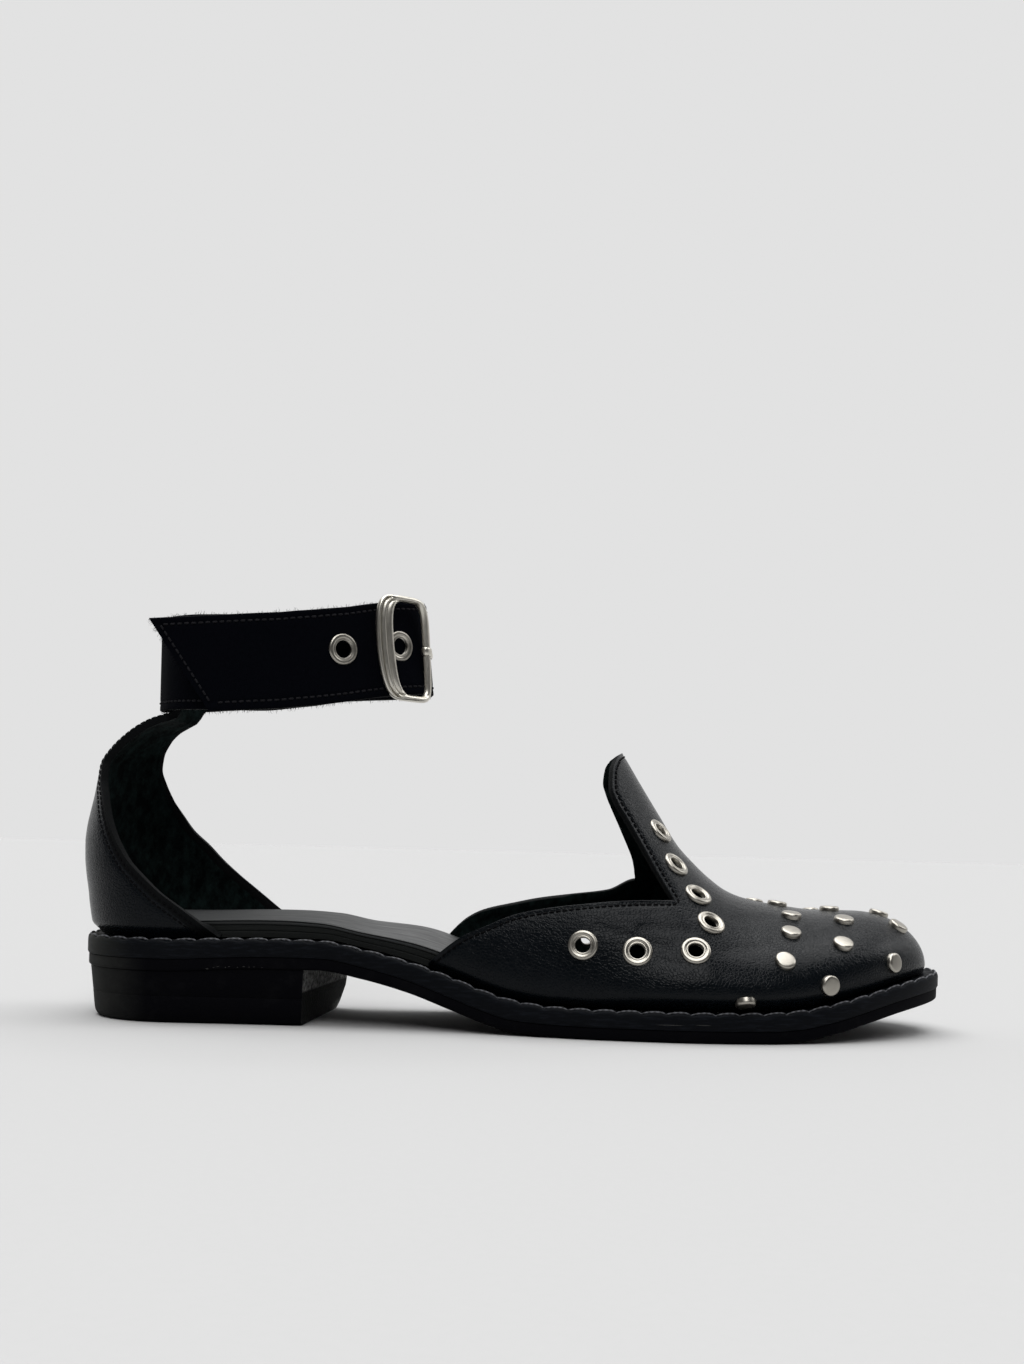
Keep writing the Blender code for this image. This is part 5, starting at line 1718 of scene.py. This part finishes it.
def turned(seats, profile, closed):
    """Vertices and faces of round pieces: one profile of (radius, height) turned about each seat's Z."""
    vertices, faces = [], []
    count = len(profile)
    for seat in seats:
        first = len(vertices)
        for k in range(TURNED_SIDES):
            turn = 2 * pi * k / TURNED_SIDES
            for radius, height in profile:
                vertices.append(seat @ Vector((radius * cos(turn), radius * sin(turn), height)))
        for k in range(TURNED_SIDES):
            here, after = first + k * count, first + (k + 1) % TURNED_SIDES * count
            for i in range(count if closed else count - 1):
                up = (i + 1) % count
                faces.append((here + i, after + i, after + up, here + up))
        if not closed:
            faces.append(tuple(first + k * count for k in range(TURNED_SIDES)))
            faces.append(tuple(first + k * count + count - 1 for k in range(TURNED_SIDES)))
    return vertices, faces


profile = [(blend(EYELET_BORE, EYELET_RADIUS, share), height) for share, height in EYELET_PROFILE]
eyelets = make_piece("vamp_eyelets", *turned(eyelet_seats, profile, True), nickel, soft_edge=50)
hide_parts(*(f"vamp_eyelet_{side}_{n}" for n in range(1, 8) for side in ("lateral", "medial")))
profile = []
for share, height in EYELET_PROFILE:
    profile.append((blend(STRAP_EYELET_BORE, STRAP_EYELET_RADIUS, share), height * STRAP_EYELET_RISE))
eyelets = make_piece("strap_eyelets", *turned(strap_seats, profile, True), nickel, soft_edge=50)
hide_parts("strap_eyelet_1", "strap_eyelet_2")

# Toe studs: flat nickel caps with a rounded shoulder, pronged through the leather in three rows.
STUD_PROFILE = (  # radius, and height over the leather
    (2.95, -0.6),
    (2.95, 0.45),
    (2.92, 0.72),
    (2.82, 0.95),
    (2.62, 1.14),
    (2.38, 1.24),
    (2.1, 1.27),
    (1.2, 1.31),
    (0.05, 1.33),
)
ToeStud = namedtuple("ToeStud", "x angle tilt")
TOE_STUDS = (  # in degrees over the last, row by row from the instep to the nose
    ToeStud(64.2, 4.8, -14.0),
    ToeStud(75.7, 26.5, 0.0),
    ToeStud(79.2, 46.2, 6.0),
    ToeStud(81.2, 64.2, 8.0),
    ToeStud(79.8, 87.0, 0.0),
    ToeStud(74.8, 105.0, 0.0),
    ToeStud(68.5, 130.0, 0.0),
    ToeStud(62.0, 173.0, 0.0),
    ToeStud(88.5, 10.0, 0.0),
    ToeStud(93.9, 36.9, 4.0),
    ToeStud(97.0, 61.6, 2.0),
    ToeStud(96.2, 88.0, 0.0),
    ToeStud(93.5, 112.0, 0.0),
    ToeStud(89.0, 138.0, 0.0),
    ToeStud(83.0, 169.0, 0.0),
    ToeStud(109.5, 15.3, 0.0),
    ToeStud(114.5, 59.5, 0.0),
    ToeStud(111.6, 88.0, 0.0),
    ToeStud(108.0, 128.0, 0.0),
    ToeStud(103.5, 163.0, 0.0),
)
stud_seats = [tilted(vamp_frame(stud.x, radians(stud.angle), 0.0), stud.tilt) for stud in TOE_STUDS]
studs = make_piece("toe_studs", *turned(stud_seats, STUD_PROFILE, False), nickel, soft_edge=50)
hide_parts(*(f"toe_stud_{n:02d}" for n in range(1, len(TOE_STUDS) + 1)))

# Buckle: a bent frame of nickel-plated steel. Its rear bar is wide, with three bowed ridges, and its
# other bars are thin. The prong turns on the front bar.
BUCKLE_ANGLE = -394.0
BUCKLE_MIDDLE = 109.9
BUCKLE_LIFT = 1.1
BUCKLE_HALF_LENGTH = 8.6
BUCKLE_HALF_HEIGHT = 15.3
BUCKLE_FULLNESS = 5.0
BUCKLE_LEAN = 0.14
REAR_BAR = 4.6
REAR_BOW = 1.8
INNER_BOW = 0.8
FRONT_BAR = 2.2
SIDE_BAR = 1.9
BUCKLE_STEPS = 128
BUCKLE_WALK = 24  # small steps along the bent strap
REAR_FROM = 0.2  # how far round the frame the rear bar's section starts, as a cosine
REAR_OVER = 0.3
PRONG_SMOOTHING = 3
BarRow = namedtuple("BarRow", "plain_at plain_rise rear_at rear_rise")
BAR = (  # section of a plain bar and of the rear bar: shares from the outer to the inner side, and rise
    BarRow(0.0, 0.0, 0.0, 0.0),
    BarRow(0.0, 0.55, 0.0, 0.8),
    BarRow(0.06, 1.0, 0.05, 1.2),
    BarRow(0.13, 1.3, 0.11, 1.3),
    BarRow(0.22, 1.5, 0.17, 1.2),
    BarRow(0.33, 1.66, 0.22, 0.4),
    BarRow(0.42, 1.7, 0.28, 0.9),
    BarRow(0.5, 1.72, 0.38, 1.55),
    BarRow(0.58, 1.7, 0.48, 1.5),
    BarRow(0.67, 1.66, 0.55, 0.85),
    BarRow(0.78, 1.5, 0.62, 1.1),
    BarRow(0.87, 1.3, 0.73, 1.7),
    BarRow(0.94, 1.0, 0.88, 1.6),
    BarRow(1.0, 0.55, 0.98, 1.0),
    BarRow(1.0, 0.0, 1.0, 0.0),
)
ProngRow = namedtuple("ProngRow", "low_at low high_at high half")
PRONG = (  # sections from the loop to the tip: place and height of the under and upper side, half width
    ProngRow(-1.9, 0.5, -1.9, 2.6, 1.3),
    ProngRow(-1.3, 0.5, -1.5, 3.0, 1.4),
    ProngRow(-1.3, 2.8, -1.0, 3.2, 1.4),
    ProngRow(1.3, 2.8, 1.0, 3.2, 1.4),
    ProngRow(1.3, 0.4, 1.6, 2.6, 1.4),
    ProngRow(2.9, 0.3, 2.9, 1.3, 1.1),
    ProngRow(5.0, 0.2, 5.0, 1.1, 1.0),
    ProngRow(7.5, 0.2, 7.5, 1.0, 1.0),
    ProngRow(10.0, 0.2, 10.0, 0.9, 0.9),
    ProngRow(12.5, 0.2, 12.3, 0.8, 0.7),
)

# Buckle nickel: the same plate painted a lighter colour on the buckle, a painted highlight for its brighter
# shine.
nickel_painted_lighter = nickel.copy()
nickel_painted_lighter.name = "nickel_plate_painted_lighter"
for socket, code in ((MIX_A, "#c2beb4"), (MIX_B, "#dcd8ce")):
    nickel_painted_lighter.node_tree.nodes["plate_tone"].inputs[socket].default_value = to_linear(code)


def strap_outside(angle, lift):
    """Point over the outer face of the band in plan, at an angle in degrees."""
    return loop_point(angle, strap_offset(angle) + STRAP_THICKNESS / 2 + lift)[0]


def on_buckle(along, height, lift):
    """Point over the band: along it from the middle of the buckle, above that middle, and off it."""
    angle = BUCKLE_ANGLE
    distance = along - BUCKLE_LEAN * height
    for _ in range(BUCKLE_WALK):
        degree = strap_outside(angle + 0.5, 0.0) - strap_outside(angle - 0.5, 0.0)
        angle += distance / BUCKLE_WALK / degree.length
    return strap_outside(angle, lift) + Vector((0.0, 0.0, BUCKLE_MIDDLE + height))


def oval(half_length, half_height, turn):
    """Point of a rectangle with convex sides and round corners."""
    power = 2 / BUCKLE_FULLNESS
    along = half_length * copysign(abs(cos(turn)) ** power, cos(turn))
    return along, half_height * copysign(abs(sin(turn)) ** power, sin(turn))


rings = []
for step in range(BUCKLE_STEPS):
    turn = 2 * pi * step / BUCKLE_STEPS
    outer_at, outer_up = oval(BUCKLE_HALF_LENGTH, BUCKLE_HALF_HEIGHT, turn)
    inner_half = BUCKLE_HALF_LENGTH - (REAR_BAR + FRONT_BAR) / 2
    inner_at, inner_up = oval(inner_half, BUCKLE_HALF_HEIGHT - SIDE_BAR, turn)
    inner_at += (REAR_BAR - FRONT_BAR) / 2
    if cos(turn) < 0:
        bow = 1 - (outer_up / BUCKLE_HALF_HEIGHT) ** 2
        outer_at -= REAR_BOW * bow
        inner_at -= INNER_BOW * bow
    rear = eased((-cos(turn) - REAR_FROM) / REAR_OVER)
    ring = []
    for row in BAR:
        share, rise = blend(row.plain_at, row.rear_at, rear), blend(row.plain_rise, row.rear_rise, rear)
        at, up = blend(outer_at, inner_at, share), blend(outer_up, inner_up, share)
        ring.append(on_buckle(at, up, BUCKLE_LIFT + rise))
    rings.append(ring)
vertices, faces = loft(rings + rings[:1])
buckle = make_piece("buckle_bent_frame", vertices, faces, nickel_painted_lighter, soft_edge=60)
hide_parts("buckle_frame")

rings = []
bar = BUCKLE_HALF_LENGTH - FRONT_BAR / 2
for row in PRONG:
    corners = (
        (bar + row.low_at, -row.half, row.low),
        (bar + row.low_at, row.half, row.low),
        (bar + row.high_at, row.half, row.high),
        (bar + row.high_at, -row.half, row.high),
    )
    rings.append([on_buckle(*corner) for corner in corners])
vertices, faces = loft(rings)
faces += [(0, 1, 2, 3), tuple(range(len(vertices) - 4, len(vertices)))]
prong = make_piece("buckle_prong_wire", vertices, faces, nickel_painted_lighter)
soft = prong.modifiers.new("rounded", "SUBSURF")
soft.levels = PRONG_SMOOTHING
soft.render_levels = PRONG_SMOOTHING
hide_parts("buckle_prong")

bpy.context.view_layer.update()
